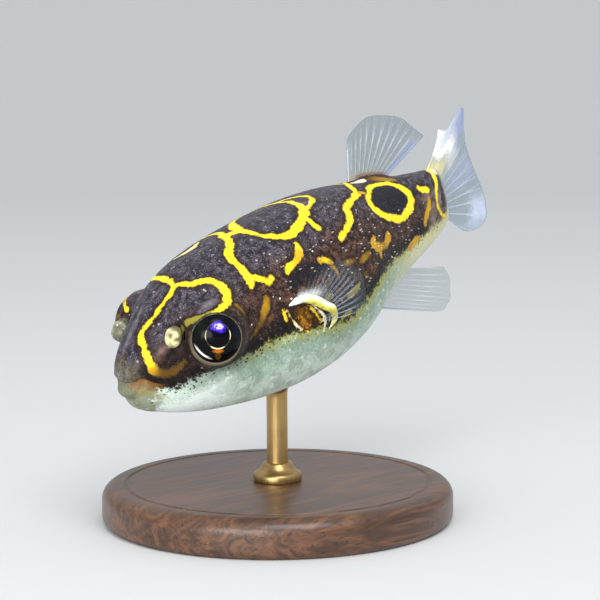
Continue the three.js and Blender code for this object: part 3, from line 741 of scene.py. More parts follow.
def paintBelly(at, base):  # white, shaded green grey, with dark specks, and a lime tint along its edge
    low = total(at.bellyEdge, spread(at.broad, -2.4, 2.4), spread(at.mottle, -1.6, 1.6))
    frontShade = both(band(at.under, 2.8, 1.0), band(at.station, 5, 8), band(at.station, 20, 13))
    speckSize = total(cells(at.point, 0.5), both(at.bellyEdge, 0.11), both(frontShade, -0.12))
    pale = coats(
        "belly",
        ("bellyGreen", band(low, 8.5, 0.2), spread(band(at.station, 4, 14), 0.2, 1.0)),
        ("bellyGreen", band(at.grains, 0.25, 0.6), 0.26),
        ("bellyShade", band(at.patches, 0.44, 0.62), band(at.station, 3, 9), 0.34),
        ("bellyShade", band(at.fine, 0.52, 0.72), band(low, 7, 0.5), band(at.station, 6, 12), 0.6),
        ("belly", band(at.mottle, 0.44, 0.32), 0.6),
        ("bellyCream", band(at.station, 38, 50), 0.72),
        ("limeTint", band(at.under, 2.1, 0.3), band(at.station, 9, 15), band(at.fine, 0.3, 0.6),
         spread(band(at.station, 42, 50), 0.85, 0.5)),
        ("bellyShade", frontShade, 0.5),
        # Whiter low at the front of the throat: partly its own white, partly painted light.
        ("throat", band(at.station, 13, 6), band(at.under, 1.8, 3.4), 0.65),
        ("nearBlack", band(speckSize, 0.36, 0.26), 0.85),
        ("bellyShade", band(cells(at.point, 1.3), 0.14, 0.08), band(at.patches, 0.5, 0.6), 0.55))
    return layer(base, pale, band(at.under, -0.35, 0.55))


def paintUpperLip(at, base):  # grey, with a pale tip
    ragged = wavy(at, at.station, 0.9, 0.6)
    lip = coats(
        "lipTan",
        ("lipGrey", band(at.mottle, 0.4, 0.6)),
        ("lipTip", band(ragged, 0.6, -0.4), 0.8),
        ("rim", band(at.fine, 0.52, 0.36), 0.6))
    return layer(base, lip, band(ragged, 1.9, 0.7), band(at.mouthEdge, 0.1, -0.1), 0.9)


def paintLowerLip(at, base):  # orange brown, tan below, then the pale chin, and the mouth's dark slit
    ragged = wavy(at, at.station, 0.9, 0.6)
    lipDepth = wavy(at, at.mouthEdge, 0.7, 0.3)
    chin = coats(
        "chin",
        # Darker towards the chin's front: painted shade under the snout.
        ("chinDeep", band(ragged, 1.7, 0.3), band(at.mottle, 0.62, 0.4)),
        ("belly", band(at.mottle, 0.56, 0.72), band(at.station, 0.8, 2.2), 0.7))
    lip = coats(
        "lipBrown",
        ("lipYellow", band(lipDepth, 1.1, 1.6)),
        ("lipOlive", band(ragged, 0.9, 0.2)),
        ("rim", band(at.fine, 0.58, 0.72), 0.5),
        ("lipGrey", band(at.mottle, 0.54, 0.7), 0.3),
        ("lipYellow", band(at.fine, 0.44, 0.3), 0.35),
        (chin, band(lipDepth, 2.0, 3.0)))
    rearBlend = band(total(ragged, spread(at.mottle, -1.6, 1.6)), 4.0, 1.9)
    return coats(
        base,
        (lip, band(at.mouthEdge, -0.12, 0.05), rearBlend, 0.92),
        # The chin's own small dark spots.
        ("chinDeep", band(cells(at.point, 0.7), 0.3, 0.2), band(lipDepth, 2.0, 2.5),
         band(at.station, 3.6, 2.2), 0.75),
        # The mouth's slit is painted dark: painted shade in the crease between the lips.
        ("rim", band(calculate("ABSOLUTE", at.mouthEdge), 0.13, 0.04), band(at.station, 2.9, 2.2), 0.7))


def paintGillOpening(at, base):  # the hollow in front of the pectoral fin
    far = wavy(at, at.hollow, 0.6)
    inside = coats(
        "hollowGold",
        ("hollowBrown", band(far, 0.2, 1.5)),
        ("hollowDark", band(at.mottle, 0.44, 0.58), 0.85),
        ("gold", band(at.fine, 0.56, 0.7), 0.7),
        # Painted shade: dark on the hollow's walls towards its rim, and over its rear part.
        ("hollowDark", band(far, 1.5, 2.1)),
        ("hollowDark", band(wavy(at, at.station, 1.3), 22.5, 23.8), 0.8))
    return layer(base, inside, band(far, 2.4, 1.8))


def paintLines(at, base):  # the markings' lines, in the tone that each has
    shade = wavy(at, at.tone, 0.12)
    olive = attribute("lineOlive")
    grey = band(at.tone, -0.6, -0.9)
    line = coats(
        "lemon",
        ("gold", band(shade, 0.05, 0.5)),
        ("amberBrown", band(shade, 0.5, 1.0)),
        ("gold", band(at.edge, -0.26, 0.04), band(at.fine, 0.25, 0.5), band(at.tone, 0.7, 0.3)),
        ("gold", band(at.mottle, 0.55, 0.75), 0.35),
        ("cream", band(at.tone, -0.05, -0.35)),
        ("slateLight", band(at.tone, -0.7, -0.8)),
        ("pinkTan", band(at.tone, -1.2, -1.3)),
        ("tailMark", band(at.tone, 1.3, 1.6)),
        ("olive", olive))
    softness = total(band(at.tone, 0.1, 0.8), grey, both(olive, 0.3))
    softEdge = both(at.edge, spread(softness, 1.0, 0.32), spread(grey, 1.0, 0.4))
    hazy = both(grey, spread(band(total(at.mottle, both(at.hairs, 0.5)), 0.5, 0.95), 0.85, 0.2))
    return layer(base, line, band(softEdge, 0.09, -0.09), spread(hazy, 1.0, 0.0))


def paintLids(at, base):  # thin and pale, dark above the eye and where they turn in
    underEye = both(band(at.flank, 60, 82), spread(band(at.station, 9.6, 11.6), 1.0, 0.15))
    # Dark above the eye and pale below it: painted shade under the brow.
    lid = layer("lidShade", "lid", underEye)
    lidReach = both(at.lidEdge, spread(underEye, 1.0, 0.5))
    return coats(
        base,
        (lid, band(lidReach, 4.6, 2.8), spread(at.fine, 0.7, 1.1)),
        ("lidEdge", band(at.lidEdge, 2.4, 1.4), band(at.lidEdge, 0.3, 1.0), band(at.coarse, 0.35, 0.6), 0.5),
        # Nearly black where the lid turns in towards the eye: painted shade in that crease.
        ("nearBlack", band(at.lidEdge, 0.5, -1.5)))


def makeSkinPaint():
    paint = startPaint("mottled skin")
    at = skinFields()
    base = paintBack(at)
    for paintPart in (paintPlaces, paintBelly, paintUpperLip, paintLowerLip, paintGillOpening, paintLines,
                      paintLids):
        base = paintPart(at, base)
    base = layer(base, "fleck", attribute("tip"), 0.85)
    relief = total(both(at.grains, 0.7), both(at.mottle, 1.2), both(at.hairs, 0.5))
    return finishPaint(paint, {
        "Base Color": base,
        "Roughness": spread(at.fine, 0.32, 0.55),
        "Specular IOR Level": 0.16,
        "Sheen Weight": 0.05,
        "Sheen Roughness": 0.4,
        "Sheen Tint": (0.7, 0.75, 0.95, 1),
    }, relief, 0.038)


skinMaterial = makeSkinPaint()
skin.data.materials.clear()
skin.data.materials.append(skinMaterial)

# The prickles: short spines, small on the back and white tipped on the flanks
prickleShape = {
    "count": 5600,
    "seed": 11,
    "tries": 4,  # so many spots are tried for each one wanted
    "spacing": 0.46,
    "sides": 6,
    "radius": 0.085,
    "height": 0.15,
    "waist": (0.35, 0.72),  # drawn in at this height, to this share
    "grow": (0.75, 0.6),  # each one's size: this, and up to this much more
    "whiteGrow": 1.9,
    "bellyGrow": (110, 0.8),  # below this angle
    "backGrow": 0.75,
    "tips": (0.1, 0.22),  # how pale their tips are on the back and belly, and on the sides
    "sunk": 0.04,
    "lean": 0.5,  # how far they lie towards the tail
    "stations": (4.6, 50),
    "hollowClear": 4.2,  # none this near the gill opening, an eye's middle or a nasal flap's
    "hollowReach": 10,  # the gill opening's distance from the axis
    "eyeClear": 4.9,
    "noseClear": 2.4,
    "back": 40,  # fewer and smaller above this angle
    "backShare": 0.6,
    "belly": 104,
    "whiteFrom": (21, 48),  # the white ones lie behind this station and below this angle
    "whiteShare": 0.2,
    "mapMargin": 0.03,  # on the bake's map they lie by their station and angle
    "mapStations": (-2, 62),
    "mapPatch": 0.003,
}


def modelPrickle():  # one spine: a cone with a waist, standing on its base
    deselectAll()
    bpy.ops.mesh.primitive_cone_add(vertices=prickleShape["sides"], radius1=1, radius2=0, depth=1,
                                    location=(0, 0, 0.5))
    spine = bpy.context.object
    height, share = prickleShape["waist"]
    editAll()
    bpy.ops.mesh.bisect(plane_co=(0, 0, height), plane_no=(0, 0, 1))
    bpy.ops.transform.resize(value=(share, share, 1))
    leaveEdit()
    bpy.ops.object.transform_apply(location=True, rotation=True, scale=True)
    points = getPoints(spine)
    faces = [tuple(face.vertices) for face in spine.data.polygons]
    bpy.data.objects.remove(spine)
    return points, faces


def choosePrickles(random):  # spots on the skin, none on the lids, lips, gill opening or tail stem
    points = toFish(getPoints(skin))
    corners = np.array([face.vertices[:3] for face in skin.data.polygons])
    picked = corners[random.integers(0, len(corners), prickleShape["count"] * prickleShape["tries"])]
    shares = random.dirichlet((1, 1, 1), len(picked))
    spots = (points[picked] * shares[:, :, None]).sum(1)
    station, right, rise = measure(spots)
    angle = np.abs(roundAngle(right, rise))
    first, last = prickleShape["stations"]
    often = np.where(angle > prickleShape["back"], 1.0, prickleShape["backShare"])
    keep = (station > first) & (station < last) & (random.random(len(spots)) < often)
    around = np.radians(angle - hollowSpot[1]) * prickleShape["hollowReach"]
    fromHollow = np.hypot(station - hollowSpot[0], around)
    keep &= fromHollow > prickleShape["hollowClear"]
    for label in sides:
        for node, clear in (("eye_", "eyeClear"), ("nasal_lobe_", "noseClear")):
            away = np.linalg.norm(spots - toFish(boxMiddle(node + label)), axis=1)
            keep &= away > prickleShape[clear]
    spots, angle = spots[keep], angle[keep]
    chosen = []
    taken = {}
    for index, spot in enumerate(spots):
        cell = tuple(np.floor(spot / prickleShape["spacing"]).astype(int))
        if cell not in taken:
            taken[cell] = index
            chosen.append(index)
    chosen = np.array(chosen[:prickleShape["count"]])
    return spots[chosen], angle[chosen]


def makePrickles():
    random = np.random.default_rng(prickleShape["seed"])
    shape, faces = modelPrickle()
    spots, angle = choosePrickles(random)
    count, size = len(spots), len(shape)
    up = np.array([skinTree.find_nearest(Vector(spot))[1] for spot in spots])
    station, right, rise = measure(spots)
    back = along(station, np.ones(count), np.zeros(count), np.zeros(count))
    lean = unit(up + (back - up * (back * up).sum(1)[:, None]) * prickleShape["lean"])
    across = unit(np.cross(lean, back))
    ahead = np.cross(across, lean)
    onBack, onBelly = angle < prickleShape["back"], angle > prickleShape["belly"]
    least, more = prickleShape["grow"]
    grow = least + more * random.random(count)
    whiteStation, whiteAngle = prickleShape["whiteFrom"]
    white = (angle > whiteAngle) & (angle < prickleShape["belly"]) & (station > whiteStation)
    white &= random.random(count) < prickleShape["whiteShare"]
    lowAngle, lowGrow = prickleShape["bellyGrow"]
    grow *= np.where(white, prickleShape["whiteGrow"], 1.0)
    grow *= np.where(angle > lowAngle, lowGrow, 1.0) * np.where(onBack, prickleShape["backGrow"], 1.0)
    radius, height = grow * prickleShape["radius"], grow * prickleShape["height"]
    points = (shape[None, :, :1] * ahead[:, None] * radius[:, None, None]
              + shape[None, :, 1:2] * across[:, None] * radius[:, None, None]
              + (shape[None, :, 2:] * height[:, None, None] - prickleShape["sunk"]) * lean[:, None])
    points = (points + spots[:, None]).reshape(-1, 3)
    mesh = bpy.data.meshes.new("prickles")
    allFaces = [tuple(corner + index * size for corner in face) for index in range(count) for face in faces]
    mesh.from_pydata([tuple(p) for p in toWorld(points)], [], allFaces)
    prickles = addPiece("prickles", mesh)
    markSkin(prickles, np.repeat(spots, size, axis=0))
    pale = np.where(white, 1.0, np.where(onBelly | onBack, *prickleShape["tips"]))
    storeValues(prickles, "tip", (shape[None, :, 2] * pale[:, None]).ravel())
    flat = mesh.uv_layers.new(name="OFBake")
    corners = readValues(mesh.loops, "vertex_index", 1, np.int64)[:, 0]
    margin, (first, last) = prickleShape["mapMargin"], prickleShape["mapStations"]
    root = np.stack([(station - first) / (last - first), (roundAngle(right, rise) + 180) / 360], -1)
    root = margin + (1 - 2 * margin) * root
    offset = shape[:, :2] * prickleShape["mapPatch"] / 2
    flat.data.foreach_set("uv", (root[corners // size] + offset[corners % size]).ravel())
    mesh.materials.append(skinMaterial)
    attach(prickles, "root")
    print("prickles", count)


eyeShape = {
    "radius": 3.8,
    "pupilRadius": 1.42,
    "ringLift": 0.6,  # the gold ring's middle, above where the eye looks
    "ringRise": 0.012,
    "ringWidth": 0.1,
    "ringOut": 0.08,  # past the pupil's edge
    "ringEnd": 70,  # none behind this angle
    "up": (0.399, 0.074, 0.914),  # the eyes' markings stand upright along this
}


def makeEye(label, side):
    centre = toFish(boxMiddle("eye_" + label))
    aim = eyeAim(label)
    up = mirrored(np.array(eyeShape["up"]), side)
    up -= aim * (up @ aim)
    up /= np.linalg.norm(up)
    back = np.cross(up, aim) * -side
    deselectAll()
    bpy.ops.mesh.primitive_uv_sphere_add(segments=96, ring_count=64, radius=eyeShape["radius"] * mm)
    eye = bpy.context.object
    eye.name = eye.data.name = "eyeball_" + label
    points = getPoints(eye) / mm
    away = np.degrees(np.arccos(np.clip(points[:, 2] / eyeShape["radius"], -1, 1)))
    points = points[:, :1] * np.cross(up, aim) + points[:, 1:2] * up + points[:, 2:] * aim
    across, rise = points @ back, points @ up
    ring = np.hypot(across, rise - eyeShape["ringLift"])
    fromRing = ring - eyeShape["pupilRadius"] - eyeShape["ringOut"]
    ridge = np.exp(-((fromRing / eyeShape["ringWidth"]) ** 2)) * (away < eyeShape["ringEnd"])
    points *= (1 + ridge * eyeShape["ringRise"] / eyeShape["radius"])[:, None]
    setPoints(eye, toWorld(points + centre))
    eye.data.shade_smooth()
    storeValues(eye, "eyeAcross", across)
    storeValues(eye, "eyeRise", rise)
    eye.data.materials.append(eyePaint)
    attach(eye, "root")
    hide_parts("eye_" + label)


def makeEyePaint():
    paint = startPaint("wet eye")
    point = objectPoint()
    across = attribute("eyeAcross")
    rise = attribute("eyeRise")
    fine = noise(point, 0.3, 3)
    soft = noise(point, 1.2, 2)

    def near(x, y, wide, high):  # 0 at a point, 1 on an oval round it
        return calculate("SQRT", fromOval(across, rise, (x, y), (wide, high)))

    def towards(x, y):  # how far a point lies in a direction
        return total(both(across, x), both(rise, y))

    lift, pupilRadius = eyeShape["ringLift"], eyeShape["pupilRadius"]
    ring = near(0.0, lift, 1, 1)
    wavy = total(spread(soft, -0.5, 0.5), spread(fine, -0.4, 0.4))
    dark = layer(colour(4, 5, 6), colour(9, 12, 13), band(fine, 0.35, 0.75))
    dark = layer(dark, colour(18, 28, 22), band(near(-2.1, 1.3, 0.8, 1.3), 1.2, 0.3), 0.6)
    dark = layer(dark, colour(16, 19, 44), band(near(2.3, 1.2, 0.6, 1.3), 1.2, 0.3), 0.7)
    amber = both(band(total(near(0.0, -1.3, 0.72, 0.3), wavy), 1.15, 0.5), band(fine, 0.3, 0.5))
    iris = layer(dark, colour(190, 104, 20), amber)
    trail = both(band(total(near(0.1, -1.9, 0.4, 0.6), wavy), 1.1, 0.4), 0.4)
    iris = layer(iris, colour(120, 78, 30), trail)
    rimAway = near(0.0, 0.42, 1, 1)
    lash = both(band(total(rimAway, both(wavy, 0.12)), 2.62, 2.7), band(rimAway, 2.98, 2.88),
                band(towards(-0.64, -0.77), 2.1, 2.5), spread(fine, 0.8, 1.2))
    iris = layer(iris, colour(250, 250, 238), lash)
    # The violet patch above the pupil, with its pale spots, is a painted reflection of the light in the
    # cornea.
    patch = total(near(0.05, lift + 1.05, 1.1, 0.74), wavy)
    paintedReflection = layer(colour(20, 12, 92), colour(78, 50, 232), band(patch, 1.15, 0.4))
    spots = total(near(0.15, lift + 1.12, 0.72, 0.42), wavy)
    paintedReflection = layer(paintedReflection, colour(206, 186, 255), band(spots, 1.0, 0.6), band(fine, 0.4, 0.52))
    base = layer(iris, colour(3, 3, 8), band(ring, pupilRadius + 0.14, pupilRadius))
    lit = total(band(near(-0.05, lift - 1.5, 1.0, 0.6), 1.1, 0.6),
                both(band(near(1.5, lift + 0.1, 0.5, 0.7), 1.0, 0.5), 0.85),
                both(band(near(-1.5, lift + 0.05, 0.5, 0.7), 1.0, 0.5), 0.5), 0.05)
    width = total(spread(band(towards(0.1, -1), 0.3, 1.2), 0.1, 0.18), both(wavy, 0.06))
    inside = less(ring, pupilRadius + 0.02)
    gold = both(band(inside, 0.0, 0.04), band(less(inside, width), 0.05, 0.0), lit, spread(fine, 0.6, 1.3))
    base = layer(base, colour(255, 238, 176), gold)
    reflectionShare = band(patch, 1.1, 0.6)
    base = layer(base, paintedReflection, reflectionShare)
    # The painted reflection also glows a little, through the emission.
    return finishPaint(paint, {
        "Base Color": base,
        "Emission Color": layer(colour(0, 0, 0), paintedReflection, reflectionShare),
        "Emission Strength": 0.35,
        "Roughness": spread(fine, 0.18, 0.34),
        "Specular IOR Level": 0.05,
        "Coat Weight": 0.12,
        "Coat Roughness": 0.03,
    })


eyePaint = makeEyePaint()
for label, side in sides.items():
    makeEye(label, side)
print("eyes")
makePrickles()

noseShape = {
    "grain": 0.11,
    "smoothRounds": 30,
    "drawIn": 0.66,  # the flap is drawn in round its middle by this share
    "heartOut": 0.34,  # a ball between its two halves, this far out, makes them one bud
    "heart": 1.12,  # its radius
    "lean": 0.25,  # leaning back a little
    "outward": (5.6, 0.58, 0.73),  # its folds stand round this way: station, ahead, out
    "foldsFrom": (0.3, 1.2),
    "left": {"grow": 1.04, "shift": (0.36, 0.1, 0.1), "folds": 0.02, "tall": 1.16},
    "right": {"grow": 1.32, "shift": (-0.1, 0.36, -0.2), "folds": 0.04, "tall": 1.0},
}


def makeNasalLobe(label, side, paint):
    own = noseShape[label]
    lobe = copySolid("nasal_lobe_" + label, "nasal_flap_" + label)
    middle = toFish(getPoints(lobe)).mean(0)
    setPoints(lobe, toWorld(middle + (toFish(getPoints(lobe)) - middle) * noseShape["drawIn"]))
    outward = unit(middle - place(measure(middle[None])[0][0], 0, 0))
    heart = addBall(toWorld(middle + outward * noseShape["heartOut"]), noseShape["heart"])
    lobe = joinPieces([lobe, heart], "nasal_flap_" + label)
    applyModifier(lobe, "REMESH", mode="VOXEL", voxel_size=noseShape["grain"] * mm, use_smooth_shade=True)
    points = toFish(getPoints(lobe))
    points = relax(points, getEdges(lobe), np.full(len(points), 0.5), noseShape["smoothRounds"])
    middle = points.mean(0)
    points = (points - middle) * own["grow"]
    points[:, 2] *= own["tall"]
    points[:, 0] += noseShape["lean"] * points[:, 2]
    points += middle + np.array(own["shift"])
    setPoints(lobe, toWorld(points))
    normals = getNormals(lobe)
    out = points - points.mean(0)
    station, ahead, aside = noseShape["outward"]
    turn = np.arctan2(out[:, 2], out @ along(station, ahead, side * aside, 0))
    ripple = np.sin(turn * 3 + 1.9 * out[:, 2] + 1.1 * side)  # three wavy folds, crossed by finer ones
    ripple += 0.6 * np.sin(out[:, 0] * 4.3 + out[:, 2] * 2.7)
    fold = ripple * smoothStep(np.linalg.norm(out, axis=1), *noseShape["foldsFrom"])
    setPoints(lobe, toWorld(points + normals * (fold * own["folds"])[:, None]))
    lobe.data.shade_smooth()
    storeValues(lobe, "fold", fold)
    storeValues(lobe, "rearward", out[:, 0])
    lobe.data.materials.clear()
    lobe.data.materials.append(paint)
    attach(lobe, "root")
    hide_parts("nasal_lobe_" + label)


def makeNosePaint(name, light, middle, deepShadeAndSpecks, alpha):
    paint = startPaint(name)
    rearward = attribute("rearward")
    point = objectPoint()
    fine = noise(point, 0.3, 3)
    broad = noise(point, 1.0, 2)
    fold = total(attribute("fold"), spread(broad, -0.8, 0.8))
    # The flap's colour follows its folds as painted shade, deep in their troughs and light on their crests,
    # and its rear side is darkened with painted shade too.
    base = coats(
        deepShadeAndSpecks,
        (middle, band(fold, -1.6, -0.4)),
        (light, band(fold, -0.2, 0.7)),
        (colour(250, 247, 232), band(fine, 0.58, 0.74), 0.6),
        (deepShadeAndSpecks, band(fine, 0.42, 0.28), 0.25),
        (deepShadeAndSpecks, band(total(rearward, spread(broad, -0.4, 0.4)), -0.35, 0.2), 0.85))
    return finishPaint(paint, {
        "Base Color": base,
        "Roughness": spread(fine, 0.18, 0.42),
        "Alpha": spread(band(rearward, -0.3, 0.3), 1.0, alpha),
        "Subsurface Weight": 0.3,
        "Subsurface Radius": (0.0006, 0.0004, 0.0002),
    }, fine, 0.05)


nosePaints = {
    "left": makeNosePaint("cream nasal flap", colour(232, 224, 168), colour(190, 180, 130),
                          colour(112, 106, 76), 0.8),
    # The right flap's paint is a darker, greyer copy of the left one's: painted shade on the far flap.
    "right": makeNosePaint("olive nasal flap in painted shade", colour(146, 146, 118), colour(108, 110, 84),
                           colour(82, 84, 62), 0.72),
}
for label, side in sides.items():
    makeNasalLobe(label, side, nosePaints[label])
print("nasal flaps")

# Each fin's own table gives, at shares of its root from front to back or from top to bottom, the length of
# its rays and the angles at which they stand.
finShape = {
    "columnsPerRay": 8,
    "rows": 30,
    "thickness": 0.2,
    "edgeThickness": 0.07,
    "rayRise": 0.1,
    "rayHalf": 0.13,
    "forkStart": 0.42,  # a ray splits in two from this share of its length
    "forkEnd": 1.1,
    "forkSpread": 0.2,  # to this share of the space between rays
    "rayTaper": 0.6,  # how much lower a ray stands at its tip
    "dorsalRoot": (43.6, 51.2),  # stations
    "dorsal": [(0, 5, 20), (0.33, 7.3, 32), (0.66, 8.8, 56), (1, 8.6, 76)],
    "analRoot": (41.4, 50.2),
    "anal": [(0, 10.3, 60), (0.1, 11.1, 59), (0.3, 10.6, 58), (0.6, 9.2, 59), (0.85, 7.6, 62), (1, 6, 66)],
    "analSwing": 35,  # degrees that it swings to the left
    "tailRoot": (61.4, 3.8, -4.0),  # its station, and how high its ends lie
    "tailEarly": (2.6, 0.16),  # the upper edge starts this far ahead of the rest, down to this share
    "tailEarlyRise": 0.22,
    "tailTurned": 0.4,  # how much of a ray's turn it has at its root
    "tail": [(0, 7.9, 25, 14), (0.05, 8.5, 23.4, 12), (0.1, 9.7, 21.4, 10), (0.16, 15.8, 19.4, 8),
             (0.24, 14.4, 13, 8), (0.4, 13.2, 4, 8), (0.7, 13.2, -10, 3), (0.87, 12.8, -21, 0),
             (0.94, 10.6, -29, -2), (1, 4.6, -46, -3)],
    "pectoral": [(0, 3.6, 105, 40), (0.25, 4.4, 75, 36), (0.6, 5.2, 38, 30), (1, 4.4, -8, 28)],
    "pectoralRoot": [(0, 21.6, 0.25, 2.2), (0.25, 23.6, 0.45, 1.6), (0.5, 25.1, 0.45, 0.5),
                     (0.75, 25.8, 0.4, -1), (1, 25.4, 0.2, -2.5)],  # share, station, distance out, height
    "mound": (0.5, 0.7),  # the fleshy foot of the dorsal and anal fins, at its ends and more at its middle
    "pectoralOut": (0.15, 0.7),  # how far its rays start from the body, sideways and along themselves
    "dorsalLean": 0.05,
    "dorsalCurl": 0.5,
    "tailCurl": (-0.06, 0.07),  # for each degree that a ray is turned
    "pectoralCurl": (0.6, 0.9, 0.0),
    "scallop": 0.002,  # the edge between rays, and its longer waves
    "waves": 0.012,
}


def table(rows, u):  # each column of a table whose first column is u
    rows = smoothCurve(rows, 30)
    return [np.interp(u, rows[:, 0], rows[:, k]) for k in range(1, rows.shape[1])]


# How far the body reaches up, down and to the sides of its axis, as stations and millimetres
bodyHeights = [(38, 9.8), (42, 9.0), (48, 7.4), (53, 6.0), (57, 5.0), (61, 4.1)]
bodyDepths = [(38, 10.2), (42, 8.1), (48, 6.7), (53, 5.8), (57, 4.9), (61, 4.3)]
bodyWidths = [(12, 7.9), (18, 9.2), (25, 9.7), (32, 9.4), (38, 8.2)]


def moundTop(u):
    low, more = finShape["mound"]
    return low + more * np.sin(np.pi * u) ** 0.5


def between(ends, u):
    return ends[0] + (ends[1] - ends[0]) * u


def dorsalSurface(u, v):
    length, lean = table(finShape["dorsal"], u)
    station = between(finShape["dorsalRoot"], u)
    root = place(station, 0, table(bodyHeights, station)[0] + moundTop(u))
    lean = np.radians(lean)
    way = unit(along(station, np.sin(lean), finShape["dorsalLean"] + 0 * u, np.cos(lean)))
    curl = np.stack([0 * u, finShape["dorsalCurl"] * np.sin(np.pi * u), 0 * u], -1)
    return root + way * (length * v)[..., None] + curl * (v * v)[..., None]


def analSurface(u, v):
    length, lean = table(finShape["anal"], u)
    station = between(finShape["analRoot"], u)
    root = place(station, 0, -table(bodyDepths, station)[0] - moundTop(u))
    lean = np.radians(lean)
    swing = math.radians(finShape["analSwing"])
    down = np.cos(lean)
    way = unit(along(station, np.sin(lean), -down * math.sin(swing), -down * math.cos(swing)))
    return root + way * (length * v)[..., None]


def tailSurface(u, v):
    length, climb, turn = table(finShape["tail"], u)
    station, top, foot = finShape["tailRoot"]
    height = between((top, foot), u)
    root = place(station, 0, height)
    reach, share = finShape["tailEarly"]
    early = reach * (1 - smoothStep(u, 0, share))
    climb = np.radians(climb)
    rootTurn = np.radians(turn * finShape["tailTurned"])
    flat = np.cos(climb)
    way = unit(along(station, flat * np.cos(rootTurn), flat * np.sin(rootTurn), np.sin(climb)))
    curlAhead, curlAside = finShape["tailCurl"]
    curl = np.stack([curlAhead * turn, curlAside * turn, 0 * turn], -1)
    ahead = place(station - early, 0, height + finShape["tailEarlyRise"] * early) - root
    return root + ahead * (1 - v)[..., None] + way * (length * v)[..., None] + curl * (v * v)[..., None]


def pectoralSurface(side):
    def surface(u, v):
        length, climb, spreadOut = table(finShape["pectoral"], u)
        station, outward, rise = table(finShape["pectoralRoot"], u)
        climb, spreadOut = np.radians(climb), np.radians(spreadOut)
        flat = np.cos(spreadOut)
        way = unit(along(station, flat * np.cos(climb), side * np.sin(spreadOut), flat * np.sin(climb)))
        offBody, offRoot = finShape["pectoralOut"]
        right = side * (table(bodyWidths, station)[0] + outward + offBody)
        root = place(station, right, rise) + way * offRoot
        curl = mirrored(np.array(finShape["pectoralCurl"]), side)
        return root + way * (length * v)[..., None] + curl * (v * v)[..., None]
    return surface


def rayLines(across, v):  # distance to the nearest ray in shares of the space between rays
    offset = across - np.round(across)
    fork = finShape["forkSpread"] * smoothStep(v, finShape["forkStart"], finShape["forkEnd"])
    return np.abs(np.abs(offset) - fork)


def makeFin(name, node, surface, kind):
    spaces = finLooks[kind]["rays"] - 1
    sunk = finLooks[kind]["sunk"]
    deselectAll()
    bpy.ops.mesh.primitive_grid_add(x_subdivisions=spaces * finShape["columnsPerRay"],
                                    y_subdivisions=finShape["rows"], size=1)
    fin = bpy.context.object
    fin.name = fin.data.name = name
    flat = getPoints(fin)
    u, v = np.clip(flat[:, 0] + 0.5, 0, 1), flat[:, 1] + 0.5
    across = u * spaces
    edge = 1 + finShape["scallop"] * np.cos(2 * np.pi * across) + finShape["waves"] * np.sin(1.7 * across + 1)
    reach = sunk + (edge - sunk) * v
    setPoints(fin, toWorld(surface(u, reach)))
    fin.data.uv_layers[0].name = "fin"
    count = len(u)
    applyModifier(fin, "SOLIDIFY", thickness=finShape["thickness"] * mm, offset=0, use_rim=True)
    points = toFish(getPoints(fin))
    middle = (points[:count] + points[count:]) / 2
    normal = unit(points[:count] - points[count:])
    ridge = np.exp(-((rayLines(across, v) / finShape["rayHalf"]) ** 2))
    ridge *= finShape["rayRise"] * (1 - finShape["rayTaper"] * v)
    half = finShape["thickness"] / 2 * (1 - v) + finShape["edgeThickness"] / 2 * v + ridge
    swell = normal * half[:, None]
    setPoints(fin, toWorld(np.concatenate([middle + swell, middle - swell])))
    fin.data.shade_smooth()
    fin.data.materials.append(finPaints[kind])
    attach(fin, "root")
    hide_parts(node)


def makeFinPaint(name, look):
    paint = startPaint(name)
    uv = addNode("UVMap", {"uv_map": "fin"}, {}).outputs[0]
    split = addNode("SeparateXYZ", {}, {0: uv})
    u, v = split.outputs[0], split.outputs[1]
    point = objectPoint()
    fine = noise(point, 0.4, 3)
    broad = noise(point, 2.2, 2)
    across = both(u, look["rays"] - 1)
    offset = calculate("ABSOLUTE", less(across, calculate("ROUND", across)))
    fork = both(band(v, finShape["forkStart"], finShape["forkEnd"]), finShape["forkSpread"])
    line = calculate("ABSOLUTE", less(offset, fork))
    width = look["rayWidth"]
    ray = band(total(line, spread(fine, -0.05, 0.05)), width, width * 0.3)
    ray = both(ray, spread(broad, 0.45, 1.25), spread(band(v, 1.0, 0.5), look["rayEnd"], 1.0))
    joints = band(calculate("FRACT", both(v, look["joints"])), 0.0, 0.25)
    ray = both(ray, spread(joints, 0.75, 1.0))
    webbing = layer(look["web"], look["webShade"], broad)
    base = layer(webbing, look["ray"], ray)
    alpha = spread(ray, look["webAlpha"], look["rayAlpha"])
    rootShare = band(v, look["rootFade"], 0.0)
    base = layer(base, look["root"], rootShare)
    alpha = calculate("MAXIMUM", alpha, both(rootShare, look["rootAlpha"]))
    ragged = spread(fine, -0.12, 0.12)
    for left, right, low, high, strength, shine in look["patches"]:
        soft = 0.03 + 0.2 * (right - left)
        share = both(band(u, left - soft, left + soft), band(u, right + soft, right - soft),
                     band(total(v, ragged), low - 0.1, low + 0.1),
                     band(total(v, ragged), high + 0.14, high - 0.14), spread(broad, 0.7, 1.2), strength)
        base = layer(base, finHighlightsAndTints[shine], share)
        alpha = calculate("MAXIMUM", alpha, share)
    faded = both(band(u, 0.42, 0.12), band(v, 0.3, 0.62), look["frontFade"])
    alpha = both(alpha, less(1.0, faded))
    sockets = {"Base Color": base, "Alpha": alpha, "Roughness": spread(fine, 0.2, 0.45)}
    return finishPaint(paint, sockets, total(both(joints, 0.5), fine), 0.02)


